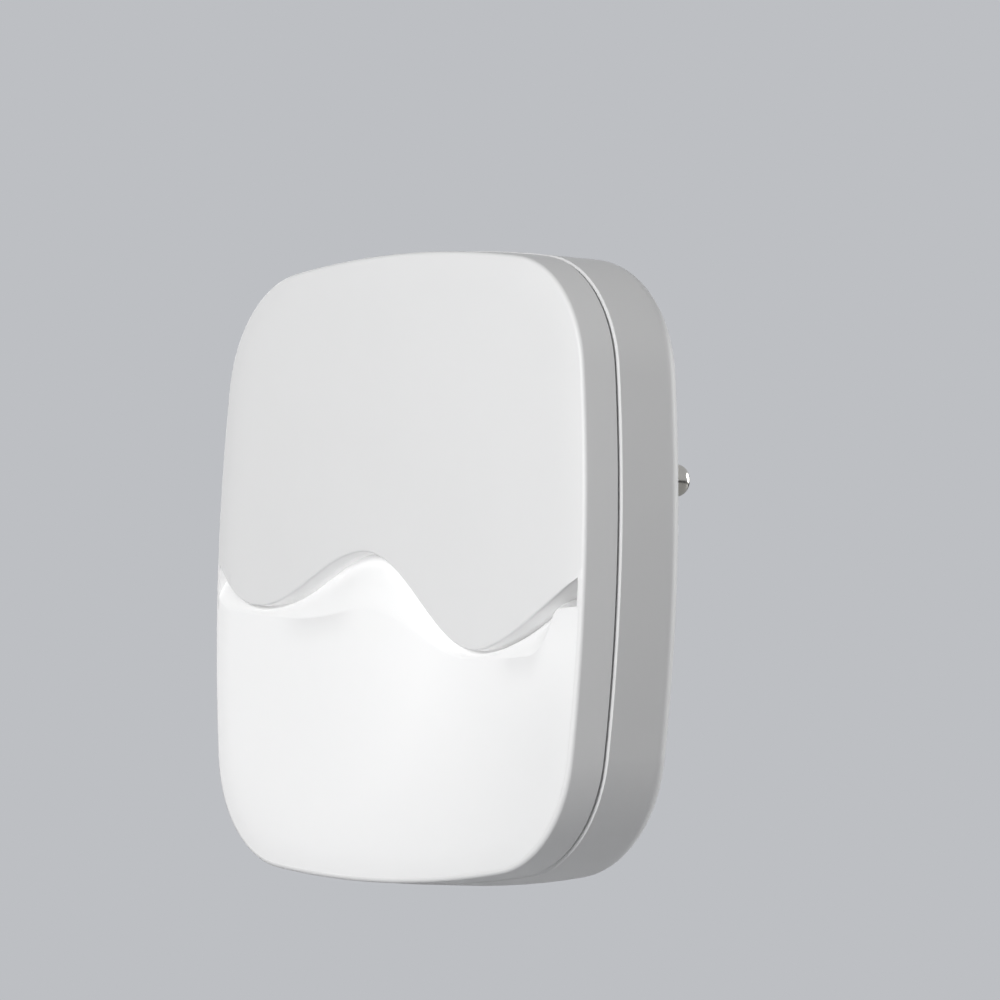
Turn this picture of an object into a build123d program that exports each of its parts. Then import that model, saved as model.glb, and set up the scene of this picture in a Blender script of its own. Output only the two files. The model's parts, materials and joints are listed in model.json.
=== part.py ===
from build123d import *
import math
import os

# Plug-in night light: a squarish casing with a stepped wave across its front.
# Pieces are laid out in the light's own frame: X to the right, Y from the front
# face into the wall, Z up, with the middle of the front face at zero. place()
# then moves them so that the origin lies between the plug pins, on the face
# that rests on the socket. All sizes are in millimetres.

# Casing outline: four long arcs joined by four corner arcs
BODY_WIDTH = 76.0
BODY_HEIGHT = 76.0
SIDE_RADIUS = 184.0
END_RADIUS = 184.0
CORNER_RADIUS = 15.9

# Casing depths
FRONT_DEPTH = 5.1
REAR_DEPTH = 9.8
FRONT_DRAFT = 0.5
FRONT_ROUND = 0.9
REAR_ROUND = 2.5
SIDE_WALL = 1.6
FACE_WALL = 1.8
REAR_WALL = 1.8
LAP_WALL = 0.75
LAP_DEPTH = 1.4
SEAM_GAP = 0.15
SEAM_CHAMFER = 0.25

# Wave edge of the upper front panel: end, dip, crest, trough and end (x, z),
# with x measured from the left side, the middle and the right side
WAVE_LEFT = ((0.0, 2.6), (9.8, -4.5))
WAVE_MIDDLE = ((-6.1, 1.95),)
WAVE_RIGHT = ((-20.1, -10.2), (0.0, -0.9))
WAVE_STEP = 3.2
WAVE_LEFT_SLOPE = -1.1
WAVE_RIGHT_SLOPE = 0.5
SKIRT_WIDTH = 1.8

# Lip where the floor below the wave comes forward to the front face (x, z),
# measured in the same way
LIP_LEFT = ((0.0, -4.6), (10.0, -5.6))
LIP_MIDDLE = ((-14.0, -5.9), (-5.0, -5.2), (5.0, -8.0))
LIP_RIGHT = ((-25.0, -11.0), (-18.0, -11.5), (-9.5, -10.7), (-4.4, -6.4), (0.0, -5.4))

# Diffuser
DIFFUSER_WALL = 1.6
DIFFUSER_RIM = 0.95
DIFFUSER_TOP = 6.0

# Reflector tray
TRAY_MARGIN = 1.6
TRAY_TAPER = 5.8
TRAY_TOP = 4.5
TRAY_TOP_TAPER = 6.5
TRAY_WALL = 1.0

# Boards
BOARD_FACE = 10.2
DRIVER_BOARD_THICKNESS = 1.6
LED_BOARD_THICKNESS = 1.0
BOARD_MARGIN = 0.8
DRIVER_BOARD_INSET = 4.6
DRIVER_BOARD_BOTTOM = 2.5
LED_BOARD_INSET = 2.5
LED_BOARD_TOP = 1.5
LED_BOARD_ABOVE_BASE = 6.0

# Light sources and sensor on the LED board
LED_SIZE = (3.5, 2.8)
LED_HEIGHT = 0.8
LED_PITCH_X = 16.0
LED_ROWS_ABOVE_BASE = (30.0, 18.0)
SENSOR_HEIGHT_ABOVE_BASE = 12.5
SENSOR_RADIUS = 1.5
SENSOR_LENGTH = 3.6
SHROUD_WALL = 0.6

# Wire staples between the boards
LINK_SPACING = 8.0
LINK_RADIUS = 0.35
LINK_INSET = 1.5
LINK_RISE = 1.6

# Parts on the driver board: size as width, depth, height and place as x, z
FILM_CAPACITOR = (13.0, 5.5, 11.0)
FILM_CAPACITOR_SPACE = 2.0
FILM_CAPACITOR_Z = 25.0
FILM_CAPACITOR_ROUND = 0.8
CAN_CAPACITOR_RADIUS = 3.15
CAN_CAPACITOR_LENGTH = 11.0
CAN_CAPACITOR_PLACE = (2.0, 27.0)
CAN_GROOVE = 0.45
BRIDGE = (4.7, 2.5, 4.0)
BRIDGE_PLACE = (-1.0, 17.5)
BRIDGE_LEGS = 2
CHIP = (4.9, 1.5, 3.9)
CHIP_PLACE = (21.0, 12.0)
CHIP_LEGS = 4
FUSE_RADIUS = 1.6
FUSE_LENGTH = 8.0
FUSE_PLACE = (0.0, 8.0)
FUSE_LEAD_REACH = 2.0
RESISTOR = (2.0, 0.6, 1.25)
RESISTOR_PLACE = (17.0, 17.5)
RESISTOR_PITCH = 3.2
RESISTOR_COUNT = 3
LEAD_RADIUS = 0.35

# Plug: two round pins, sleeved at the root
PLUG_RISE = 12.0
PIN_SPACING = 19.0
PIN_RADIUS = 2.0
PIN_LENGTH = 19.0
PIN_TIP_ROUND = 1.4
PIN_CORE_RADIUS = 1.25
SLEEVE_RADIUS = 1.75
SLEEVE_LENGTH = 10.0
PIN_FLANGE_RADIUS = 3.0
PIN_FLANGE_THICKNESS = 0.8
PIN_TAIL_RADIUS = 1.0
PIN_TAIL_RISE = 1.2
BOSS_WIDTH = 40.0
BOSS_HEIGHT = 22.0
BOSS_DEPTH = 3.0
BOSS_CORNER = 8.0
BOSS_EDGE_ROUND = 0.8
RETAINER_WIDTH = 32.0
RETAINER_HEIGHT = 11.0
RETAINER_CORNER = 2.0
STAKE_SPACING = 28.0
STAKE_RADIUS = 1.2

# Fasteners
SCREW_RADIUS = 1.25
SCREW_PILOT_RADIUS = 1.1
SCREW_HEAD_RADIUS = 2.4
SCREW_HEAD_HEIGHT = 1.5
SCREW_HOLE_RADIUS = 1.5
CASE_SCREW_LENGTH = 8.0
CASE_SCREW_INSET = 12.0
POST_RADIUS = 3.0
POST_SPLIT = 9.0
COUNTERBORE_DEPTH = 2.4
BOARD_SCREW_INSET = 5.4
BOARD_SCREW_Z = -6.0
BOARD_BOSS_RADIUS = 2.4
PAD_RADIUS = 1.8
PAD_SPACING = 36.0
DRIVER_PAD_TOP_INSET = 6.0
DRIVER_PAD_SIDE_INSET = 9.0
DRIVER_PAD_SIDE_Z = 6.0
LED_PAD_TOP_Z = -2.0
LED_PAD_ABOVE_BASE = 10.0

# Snap hooks along the bottom
HOOK_SPACING = 28.0
HOOK_WIDTH = 6.0
HOOK_THICKNESS = 1.0
HOOK_REACH = 4.2
HOOK_BARB = 0.5
HOOK_BARB_LENGTH = 1.2

# Slide switch on the left side
SWITCH_RISE = 12.0
SWITCH_DEPTH = 8.2
SWITCH_TRAVEL = 2.0
SWITCH_CAN = (5.5, 4.0, 12.0)
SWITCH_CAN_WALL = 0.5
SWITCH_CLEARANCE = 1.3
SWITCH_LEG_RADIUS = 0.4
LEVER_SIZE = 2.0
LEVER_FOOT = (1.0, 2.8, 4.4)
KNOB_LENGTH = 3.2
KNOB_WIDTH = 3.0
KNOB_PLATE_THICKNESS = 1.0
KNOB_PLATE_LENGTH = 11.8
KNOB_PLATE_WIDTH = 4.8
KNOB_PROUD = 0.7
RECESS_LENGTH = 13.0
RECESS_WIDTH = 5.0
RECESS_DEPTH = 0.8
GUIDE_THICKNESS = 1.7
GRIP_GROOVE = 0.3
GRIP_PITCH = 0.8

# Clearances
GAP = 0.05
SLIDE_GAP = 0.1
SLEEVE_GAP = 0.02

# Places that follow from the sizes above
BODY_DEPTH = FRONT_DEPTH + REAR_DEPTH
REAR_INSIDE = BODY_DEPTH - REAR_WALL
PLUG_FACE = BODY_DEPTH + BOSS_DEPTH
LEFT_FACE = -BODY_WIDTH / 2
BASE = -BODY_HEIGHT / 2
REACH = BODY_WIDTH + BODY_HEIGHT
RECESS_FLOOR = LEFT_FACE + SWITCH_RISE**2 / (2 * SIDE_RADIUS) + RECESS_DEPTH
GUIDE_FACE = RECESS_FLOOR + GUIDE_THICKNESS
DRIVER_BACK = BOARD_FACE + DRIVER_BOARD_THICKNESS
LED_BACK = BOARD_FACE + LED_BOARD_THICKNESS
CASE_SCREW_SEAT = BODY_DEPTH - COUNTERBORE_DEPTH
LINK_HIGH = DRIVER_BOARD_BOTTOM + LINK_INSET
LINK_LOW = LED_BOARD_TOP - LINK_INSET


def place(shape):
    """Moves a shape from the light's own frame to the frame of the plug."""
    return Pos(0, -PLUG_FACE, -PLUG_RISE) * shape


def front_plane(depth):
    """Plane parallel to the front face, with local Y pointing up."""
    return Plane(origin=(0, depth, 0), x_dir=(1, 0, 0), z_dir=(0, -1, 0))


def slab(face, start, end):
    """Extrudes a face drawn in front view from one depth to another."""
    return extrude(front_plane(start) * face, amount=end - start, dir=(0, 1, 0))


def rod(x, z, radius, start, end):
    """Round bar along the depth."""
    return slab(Pos(x, z) * Circle(radius), start, end)


def block(x, y, z, size):
    """Box centred on a point."""
    return Pos(x, y, z) * Box(*size)


def corner_centre():
    """Centre of the upper right corner arc, tangent to the side and end arcs."""
    side = Vector(BODY_WIDTH / 2 - SIDE_RADIUS, 0)
    end = Vector(0, BODY_HEIGHT / 2 - END_RADIUS)
    side_reach = SIDE_RADIUS - CORNER_RADIUS
    end_reach = END_RADIUS - CORNER_RADIUS
    span = (end - side).length
    along = (side_reach**2 - end_reach**2 + span**2) / (2 * span)
    across = math.sqrt(side_reach**2 - along**2)
    direction = (end - side).normalized()
    normal = Vector(-direction.Y, direction.X)
    return side + direction * along + normal * across


def body_outline(inset=0.0):
    """Casing outline in front view, moved inwards by an inset."""
    corner = corner_centre()
    half_width = BODY_WIDTH / 2 - inset
    half_height = BODY_HEIGHT / 2 - inset
    side = Vector(BODY_WIDTH / 2 - SIDE_RADIUS, 0)
    end = Vector(0, BODY_HEIGHT / 2 - END_RADIUS)
    low = side + (corner - side).normalized() * (SIDE_RADIUS - inset)
    high = end + (corner - end).normalized() * (END_RADIUS - inset)
    bulge = corner + Vector(1, 1).normalized() * (CORNER_RADIUS - inset)
    right = ThreePointArc((low.X, -low.Y), (half_width, 0), (low.X, low.Y))
    top = ThreePointArc((high.X, high.Y), (0, half_height), (-high.X, high.Y))
    turn = ThreePointArc((low.X, low.Y), (bulge.X, bulge.Y), (high.X, high.Y))
    left_turn = mirror(turn, Plane.YZ)
    edges = [right, top, turn, left_turn]
    edges += [mirror(right, Plane.YZ), mirror(top, Plane.XZ)]
    edges += [mirror(turn, Plane.XZ), mirror(left_turn, Plane.XZ)]
    return make_face(edges)


def across(left, middle, right):
    """Points measured from the left side, the middle and the right side, in one row."""
    row = []
    for start, points in ((LEFT_FACE, left), (0, middle), (-LEFT_FACE, right)):
        row += [(start + x, z) for x, z in points]
    return row


def wave_curve():
    """Wave edge of the upper panel, level at each dip and crest."""
    points = across(WAVE_LEFT, WAVE_MIDDLE, WAVE_RIGHT)
    tangents = [(1, WAVE_LEFT_SLOPE), (1, 0), (1, 0), (1, 0), (1, WAVE_RIGHT_SLOPE)]
    return Spline(*points, tangents=tangents)


def lip_curve():
    """Curve where the floor below the wave reaches the level of the front face."""
    return Spline(*across(LIP_LEFT, LIP_MIDDLE, LIP_RIGHT))


def above(curve, lift=0.0):
    """Front-view region above a curve, which may be lifted."""
    start = curve @ 0
    end = curve @ 1
    frame = Polyline((start.X, start.Y), (start.X, REACH), (end.X, REACH), (end.X, end.Y))
    return Pos(0, lift) * make_face([curve, *frame.edges()])


def floor_space():
    """Everything in front of the floor: deep under the wave, level below the lip."""
    wave = wave_curve()
    lip = lip_curve()
    deep_edge = (front_plane(WAVE_STEP) * wave).edge()
    lip_edge = (front_plane(0) * lip).edge()
    ramp = Face.make_surface_from_curves(deep_edge, lip_edge)
    under_ramp = extrude(ramp, amount=REACH, dir=(0, -1, 0))
    under_wave = slab(above(wave), -REACH, WAVE_STEP)
    level = slab(Rectangle(2 * REACH, 2 * REACH), -REACH, 0)
    return level + under_wave + under_ramp


def front_block():
    """Outer form of the front half: drafted sides and a rounded front edge."""
    back = front_plane(FRONT_DEPTH - SEAM_GAP) * body_outline()
    front = front_plane(0) * body_outline(FRONT_DRAFT)
    blank = loft([back.face(), front.face()], ruled=True)
    edges = blank.edges().filter_by_position(Axis.Y, -GAP, GAP)
    return fillet(edges, FRONT_ROUND)


def rear_block():
    """Outer form of the rear half, rounded at the back, with the plug's boss."""
    blank = slab(body_outline(), FRONT_DEPTH, BODY_DEPTH)
    back_edges = blank.edges().filter_by_position(Axis.Y, BODY_DEPTH - GAP, BODY_DEPTH + GAP)
    blank = fillet(back_edges, REAR_ROUND)
    seam = blank.edges().filter_by_position(Axis.Y, FRONT_DEPTH - GAP, FRONT_DEPTH + GAP)
    blank = chamfer(seam, SEAM_CHAMFER)
    pedestal = slab(Pos(0, PLUG_RISE) * boss_outline(), REAR_INSIDE, PLUG_FACE)
    rim = pedestal.edges().filter_by_position(Axis.Y, PLUG_FACE - GAP, PLUG_FACE + GAP)
    return blank + fillet(rim, BOSS_EDGE_ROUND)


def boss_outline():
    """Front-view outline of the raised face round the pins."""
    return RectangleRounded(BOSS_WIDTH, BOSS_HEIGHT, BOSS_CORNER)


def hook_places():
    """X positions of the snap hooks."""
    return (-HOOK_SPACING / 2, HOOK_SPACING / 2)


def hook_strip(x, width, outer, inner):
    """Front-view band along the bottom wall, between two insets."""
    column = Pos(x, BASE) * Rectangle(width, 2 * CORNER_RADIUS)
    return (body_outline(outer) - body_outline(inner)) & column


def front_shell():
    """Upper panel with its wave skirt, side wall, screw posts and snap hooks."""
    wave = wave_curve()
    lip = lip_curve()
    inside = body_outline(SIDE_WALL)
    below_wave = inside - above(wave)
    below_lip = body_outline(DIFFUSER_RIM) - above(lip)
    lap = body_outline(LAP_WALL)
    skirt = (above(wave) - above(wave, SKIRT_WIDTH)) & inside
    shell = front_block()
    shell -= slab(inside, FACE_WALL, FRONT_DEPTH)
    shell -= slab(below_wave, -GAP, FRONT_DEPTH)
    shell -= slab(below_lip, -GAP, DIFFUSER_WALL)
    shell -= slab(lap, FRONT_DEPTH - SEAM_GAP - LAP_DEPTH, FRONT_DEPTH)
    shell += slab(skirt, FACE_WALL - GAP, WAVE_STEP)
    for x, z in case_screw_places():
        post = rod(x, z, POST_RADIUS, FACE_WALL - GAP, POST_SPLIT)
        pilot_end = CASE_SCREW_SEAT - CASE_SCREW_LENGTH - SCREW_RADIUS
        shell += post - rod(x, z, SCREW_PILOT_RADIUS, pilot_end, POST_SPLIT + GAP)
    for x in hook_places():
        shell += snap_hook(x)
    return shell


def snap_hook(x):
    """Tab on the bottom wall with an outward barb at its end."""
    root = DIFFUSER_WALL + GAP
    tip = FRONT_DEPTH + HOOK_REACH
    outer = SIDE_WALL + GAP
    inner = outer + HOOK_THICKNESS
    foot = slab(hook_strip(x, HOOK_WIDTH, SIDE_WALL - GAP, inner), root, root + LAP_WALL)
    tab = slab(hook_strip(x, HOOK_WIDTH, outer, inner), root, tip)
    barb = slab(hook_strip(x, HOOK_WIDTH, SIDE_WALL - HOOK_BARB, inner), tip - HOOK_BARB_LENGTH, tip)
    lead = barb.faces().sort_by(Axis.Y)[-1].edges().sort_by(Axis.Z)[0]
    return foot + tab + chamfer(lead, HOOK_BARB)


def rear_shell():
    """Rear half with plug boss, screw bosses, pads, hook slots and switch window."""
    shell = rear_block() - slab(body_outline(SIDE_WALL), FRONT_DEPTH - GAP, REAR_INSIDE)
    tongue = body_outline(LAP_WALL + GAP) - body_outline(SIDE_WALL)
    tongue_start = FRONT_DEPTH - SEAM_GAP - LAP_DEPTH + SLIDE_GAP
    shell += slab(tongue, tongue_start, FRONT_DEPTH + SEAM_CHAMFER)
    for x, z in case_screw_places():
        shell += rod(x, z, POST_RADIUS, POST_SPLIT, REAR_INSIDE + GAP)
        shell -= rod(x, z, SCREW_HOLE_RADIUS, POST_SPLIT - GAP, BODY_DEPTH)
        shell -= rod(x, z, SCREW_HEAD_RADIUS + SLIDE_GAP, CASE_SCREW_SEAT, BODY_DEPTH + GAP)
    for x, z in board_screw_places():
        boss = rod(x, z, BOARD_BOSS_RADIUS, LED_BACK, REAR_INSIDE + GAP)
        shell += boss - rod(x, z, SCREW_PILOT_RADIUS, LED_BACK - GAP, REAR_INSIDE)
    for side in (-1, 1):
        x = side * STAKE_SPACING / 2
        shell += rod(x, PLUG_RISE, STAKE_RADIUS, DRIVER_BACK, REAR_INSIDE + GAP)
        x = side * PIN_SPACING / 2
        shell -= rod(x, PLUG_RISE, SLEEVE_RADIUS + GAP, REAR_INSIDE - GAP, PLUG_FACE + GAP)
    for x, z in driver_pads():
        shell += rod(x, z, PAD_RADIUS, DRIVER_BACK, REAR_INSIDE + GAP)
    for x, z in led_pads():
        shell += rod(x, z, PAD_RADIUS, LED_BACK, REAR_INSIDE + GAP)
    for x in hook_places():
        shell -= hook_slot(x)
    return shell + switch_guide() - switch_recess()


def case_screw_places():
    """Front-view places of the screws that close the casing."""
    x = BODY_WIDTH / 2 - CASE_SCREW_INSET
    z = BODY_HEIGHT / 2 - CASE_SCREW_INSET
    return ((-x, z), (x, z))


def board_screw_places():
    """Front-view places of the screws that hold the LED board."""
    x = BODY_WIDTH / 2 - BOARD_SCREW_INSET
    return ((-x, BOARD_SCREW_Z), (x, BOARD_SCREW_Z))


def driver_pads():
    """Front-view places of the pads behind the driver board."""
    inner = PAD_SPACING / 2
    outer = BODY_WIDTH / 2 - DRIVER_PAD_SIDE_INSET
    top = BODY_HEIGHT / 2 - DRIVER_PAD_TOP_INSET
    low = DRIVER_PAD_SIDE_Z
    return ((-inner, top), (inner, top), (-outer, low), (outer, low))


def led_pads():
    """Front-view places of the pads behind the LED board."""
    x = PAD_SPACING / 2
    z = BASE + LED_PAD_ABOVE_BASE
    return ((-x, z), (x, z), (0, LED_PAD_TOP_Z))


def hook_slot(x):
    """Pocket in the bottom wall that a barb snaps into."""
    tip = FRONT_DEPTH + HOOK_REACH
    width = HOOK_WIDTH + 4 * SLIDE_GAP
    pocket = hook_strip(x, width, SIDE_WALL - HOOK_BARB - SLIDE_GAP, SIDE_WALL + GAP)
    return slab(pocket, tip - HOOK_BARB_LENGTH - SLIDE_GAP, tip + SLIDE_GAP)


def switch_guide():
    """Flat pad inside the left wall that the knob's plate slides along."""
    outer = LEFT_FACE + SIDE_WALL / 2
    size = (GUIDE_FACE - outer, RECESS_WIDTH + SIDE_WALL, RECESS_LENGTH + SIDE_WALL)
    return block((outer + GUIDE_FACE) / 2, SWITCH_DEPTH, SWITCH_RISE, size) & switch_side_space()


def switch_side_space():
    """Space inside the outer form of the rear half, for trimming the guide."""
    return slab(body_outline(SIDE_WALL / 2), FRONT_DEPTH + SEAM_CHAMFER, BODY_DEPTH - REAR_ROUND)


def side_plane(x):
    """Plane across the left side, with local X up and local Y towards the front."""
    return Plane(origin=(x, SWITCH_DEPTH, SWITCH_RISE), x_dir=(0, 0, 1), z_dir=(-1, 0, 0))


def switch_recess():
    """Finger recess in the left side with the knob's window through its floor."""
    outline = SlotOverall(RECESS_LENGTH, RECESS_WIDTH)
    recess = extrude(side_plane(RECESS_FLOOR) * outline, amount=REACH, dir=(-1, 0, 0))
    length = KNOB_LENGTH + 2 * SWITCH_TRAVEL + 2 * SLIDE_GAP
    window = Rectangle(length, KNOB_WIDTH + 2 * SLIDE_GAP)
    depth = GUIDE_THICKNESS + 2 * GAP
    through = extrude(side_plane(GUIDE_FACE + GAP) * window, amount=depth, dir=(-1, 0, 0))
    return recess + through


def diffuser():
    """Glowing lower front: level plate, ramp under the wave, tongue behind the panel."""
    floor = floor_space()
    layer = Pos(0, DIFFUSER_WALL, 0) * floor - Pos(0, GAP / 2, 0) * floor
    lip = lip_curve()
    below_lip = body_outline(DIFFUSER_RIM + GAP) - above(lip, -GAP)
    half_plane = Rectangle(2 * REACH, 2 * REACH)
    under_panel = body_outline(SIDE_WALL + GAP) & Pos(0, DIFFUSER_TOP - REACH) * half_plane
    visible = front_block() & slab(below_lip, -GAP, DIFFUSER_WALL)
    hidden = slab(under_panel, -GAP, WAVE_STEP + DIFFUSER_WALL + GAP)
    return (visible + hidden) & layer


def reflector_tray():
    """White tapered box that throws the light forwards onto the diffuser."""
    margin = SIDE_WALL + TRAY_MARGIN
    outer = tray_form(margin, 0, BOARD_FACE)
    inner = tray_form(margin + TRAY_WALL, -GAP, BOARD_FACE - TRAY_WALL)
    tray = outer - inner - Pos(0, DIFFUSER_WALL + GAP, 0) * floor_space()
    width, height = LED_SIZE
    for x, z in led_places():
        window = Pos(x, z) * Rectangle(width + 4 * SLIDE_GAP, height + 4 * SLIDE_GAP)
        tray -= slab(window, BOARD_FACE - 2 * TRAY_WALL, BOARD_FACE + GAP)
    radius = SENSOR_RADIUS + SHROUD_WALL + 2 * SLIDE_GAP
    return tray - rod(0, sensor_z(), radius, BOARD_FACE - 2 * TRAY_WALL, BOARD_FACE + GAP)


def tray_form(margin, start, end):
    """Tapered solid between the casing outline at the front and a smaller one behind."""
    sections = []
    for depth, inset, top in (
        (start, margin, TRAY_TOP),
        (end, margin + TRAY_TAPER, TRAY_TOP - TRAY_TOP_TAPER),
    ):
        limit = top + SIDE_WALL - margin + TRAY_MARGIN
        lower = Pos(0, limit - REACH) * Rectangle(2 * REACH, 2 * REACH)
        sections.append((front_plane(depth) * (body_outline(inset) & lower)).face())
    return loft(sections, ruled=True)


def led_places():
    """Front-view centres of the light sources."""
    rows = [BASE + height for height in LED_ROWS_ABOVE_BASE]
    return [(column * LED_PITCH_X, z) for z in rows for column in (-1, 0, 1)]


def sensor_z():
    """Height of the light sensor, measured from the bottom of the casing."""
    return BASE + SENSOR_HEIGHT_ABOVE_BASE


def light_source(x, z):
    """Surface-mounted light source with a shallow lens pocket."""
    width, height = LED_SIZE
    body = slab(Pos(x, z) * Rectangle(width, height), BOARD_FACE - LED_HEIGHT, BOARD_FACE)
    pocket_radius = height / 2 - 2 * SLIDE_GAP
    pocket_depth = BOARD_FACE - LED_HEIGHT + LED_HEIGHT / 4
    return body - rod(x, z, pocket_radius, BOARD_FACE - LED_HEIGHT - GAP, pocket_depth)


def light_sensor():
    """Domed sensor that stands on the LED board."""
    z = sensor_z()
    base = BOARD_FACE
    shaft = rod(0, z, SENSOR_RADIUS, base - SENSOR_LENGTH + SENSOR_RADIUS, base)
    return shaft + Pos(0, base - SENSOR_LENGTH + SENSOR_RADIUS, z) * Sphere(SENSOR_RADIUS)


def sensor_shroud():
    """Dark tube that keeps the lamp's own light off the sensor."""
    z = sensor_z()
    inner = SENSOR_RADIUS + GAP
    start = DIFFUSER_WALL + SLIDE_GAP
    tube = rod(0, z, SENSOR_RADIUS + SHROUD_WALL, start, BOARD_FACE)
    return tube - rod(0, z, inner, start - GAP, BOARD_FACE + GAP)


def board_panel(low, high, inset):
    """Front-view outline of a board, kept inside the casing."""
    width = BODY_WIDTH - 2 * inset
    panel = Pos(0, (low + high) / 2) * Rectangle(width, high - low)
    return body_outline(SIDE_WALL + BOARD_MARGIN) & panel


def board_holes(back, holes):
    """Round holes through a board, each given as x, z and radius."""
    return [rod(x, z, radius, BOARD_FACE - GAP, back + GAP) for x, z, radius in holes]


def led_board():
    """Board in the lower half that carries the light sources."""
    outline = board_panel(BASE + LED_BOARD_ABOVE_BASE, LED_BOARD_TOP, LED_BOARD_INSET)
    holes = [(x, z, SCREW_HOLE_RADIUS) for x, z in board_screw_places()]
    for side in (-1, 1):
        holes.append((side * LINK_SPACING / 2, LINK_LOW, LINK_RADIUS + GAP))
    return slab(outline, BOARD_FACE, LED_BACK) - board_holes(LED_BACK, holes)


def driver_board():
    """Board in the upper half that carries the mains parts and the switch."""
    outline = board_panel(DRIVER_BOARD_BOTTOM, BODY_HEIGHT / 2, DRIVER_BOARD_INSET)
    holes = [(x, z, SWITCH_LEG_RADIUS + GAP) for x, z in leg_places()]
    holes += [(x, z, POST_RADIUS + 4 * SLIDE_GAP) for x, z in case_screw_places()]
    for side in (-1, 1):
        holes.append((side * PIN_SPACING / 2, PLUG_RISE, PIN_TAIL_RADIUS + GAP))
        holes.append((side * LINK_SPACING / 2, LINK_HIGH, LINK_RADIUS + GAP))
    return slab(outline, BOARD_FACE, DRIVER_BACK) - board_holes(DRIVER_BACK, holes)


def link_wires():
    """Two bare wire staples that join the boards."""
    wires = []
    for side in (-1, 1):
        x = side * LINK_SPACING / 2
        path = Polyline(
            (x, LED_BACK, LINK_LOW),
            (x, BOARD_FACE - LINK_RISE, LINK_LOW),
            (x, BOARD_FACE - LINK_RISE, LINK_HIGH),
            (x, LED_BACK, LINK_HIGH),
        )
        section = Plane(origin=path @ 0, z_dir=path % 0) * Circle(LINK_RADIUS)
        wires.append(sweep(section, path=path, transition=Transition.RIGHT))
    return Compound(children=wires)


def film_capacitor():
    """Moulded box capacitor on the driver board, beside the left screw post."""
    width, depth, height = FILM_CAPACITOR
    post = case_screw_places()[0]
    x = post[0] + POST_RADIUS + FILM_CAPACITOR_SPACE + width / 2
    body = block(x, BOARD_FACE - depth / 2, FILM_CAPACITOR_Z, FILM_CAPACITOR)
    return fillet(body.edges().filter_by(Axis.Y), FILM_CAPACITOR_ROUND)


def can_capacitor():
    """Round can capacitor on its side, with the rolled groove near its seal."""
    radius = CAN_CAPACITOR_RADIUS
    length = CAN_CAPACITOR_LENGTH
    profile = Polyline(
        (0, 0),
        (0, radius),
        (length - 4 * CAN_GROOVE, radius),
        (length - 3 * CAN_GROOVE, radius - CAN_GROOVE),
        (length - 2 * CAN_GROOVE, radius),
        (length, radius),
        (length, 0),
        close=True,
    )
    can = revolve(make_face(profile), Axis.X)
    x, z = CAN_CAPACITOR_PLACE
    return Pos(x, BOARD_FACE - radius, z) * can


def bridge_rectifier():
    """Small four-legged rectifier."""
    return small_package(BRIDGE_PLACE, BRIDGE, BRIDGE_LEGS)


def driver_chip():
    """Eight-legged driver chip."""
    return small_package(CHIP_PLACE, CHIP, CHIP_LEGS)


def small_package(place, size, legs):
    """Moulded body on the driver board with bent legs above and below."""
    x, z = place
    width, depth, height = size
    body = block(x, BOARD_FACE - depth / 2 - SLIDE_GAP / 2, z, (width, depth - SLIDE_GAP, height))
    package = chamfer(body.faces().sort_by(Axis.Y)[0].edges(), depth / 5)
    pitch = width / legs
    for number in range(legs):
        leg_x = x - width / 2 + pitch * (number + 0.5)
        leg = (pitch / 3, depth / 6, height + 4 * LEAD_RADIUS)
        package += block(leg_x, BOARD_FACE - depth / 12, z, leg)
        riser = (pitch / 3, depth / 2, height + LEAD_RADIUS)
        package += block(leg_x, BOARD_FACE - depth / 4, z, riser)
    return package


def fuse_resistor():
    """Fusible resistor with its leads bent down into the board."""
    height = BOARD_FACE - FUSE_RADIUS - 4 * SLIDE_GAP
    x, z = FUSE_PLACE
    body = Pos(x, height, z) * Rot(0, 90, 0) * Cylinder(FUSE_RADIUS, FUSE_LENGTH)
    body = chamfer(body.edges(), FUSE_RADIUS / 3)
    half = FUSE_LENGTH / 2 + FUSE_LEAD_REACH
    path = FilletPolyline(
        (x - half, BOARD_FACE, z),
        (x - half, height, z),
        (x + half, height, z),
        (x + half, BOARD_FACE, z),
        radius=2 * LEAD_RADIUS,
    )
    section = Plane(origin=path @ 0, z_dir=path % 0) * Circle(LEAD_RADIUS)
    return body + sweep(section, path=path)


def chip_resistors():
    """Row of surface-mounted resistors."""
    x, z = RESISTOR_PLACE
    depth = BOARD_FACE - RESISTOR[1] / 2
    places = [x + RESISTOR_PITCH * number for number in range(RESISTOR_COUNT)]
    return Compound(children=[block(place, depth, z, RESISTOR) for place in places])


def switch_left():
    """X of the switch can's left face."""
    return GUIDE_FACE + KNOB_PLATE_THICKNESS + SLIDE_GAP + SWITCH_CLEARANCE


def leg_places():
    """Front-view places of the switch's legs."""
    width, depth, length = SWITCH_CAN
    x = switch_left() + width / 2
    return [(x, SWITCH_RISE + step * length / 4) for step in (-1.5, -0.5, 0.5, 1.5)]


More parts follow.
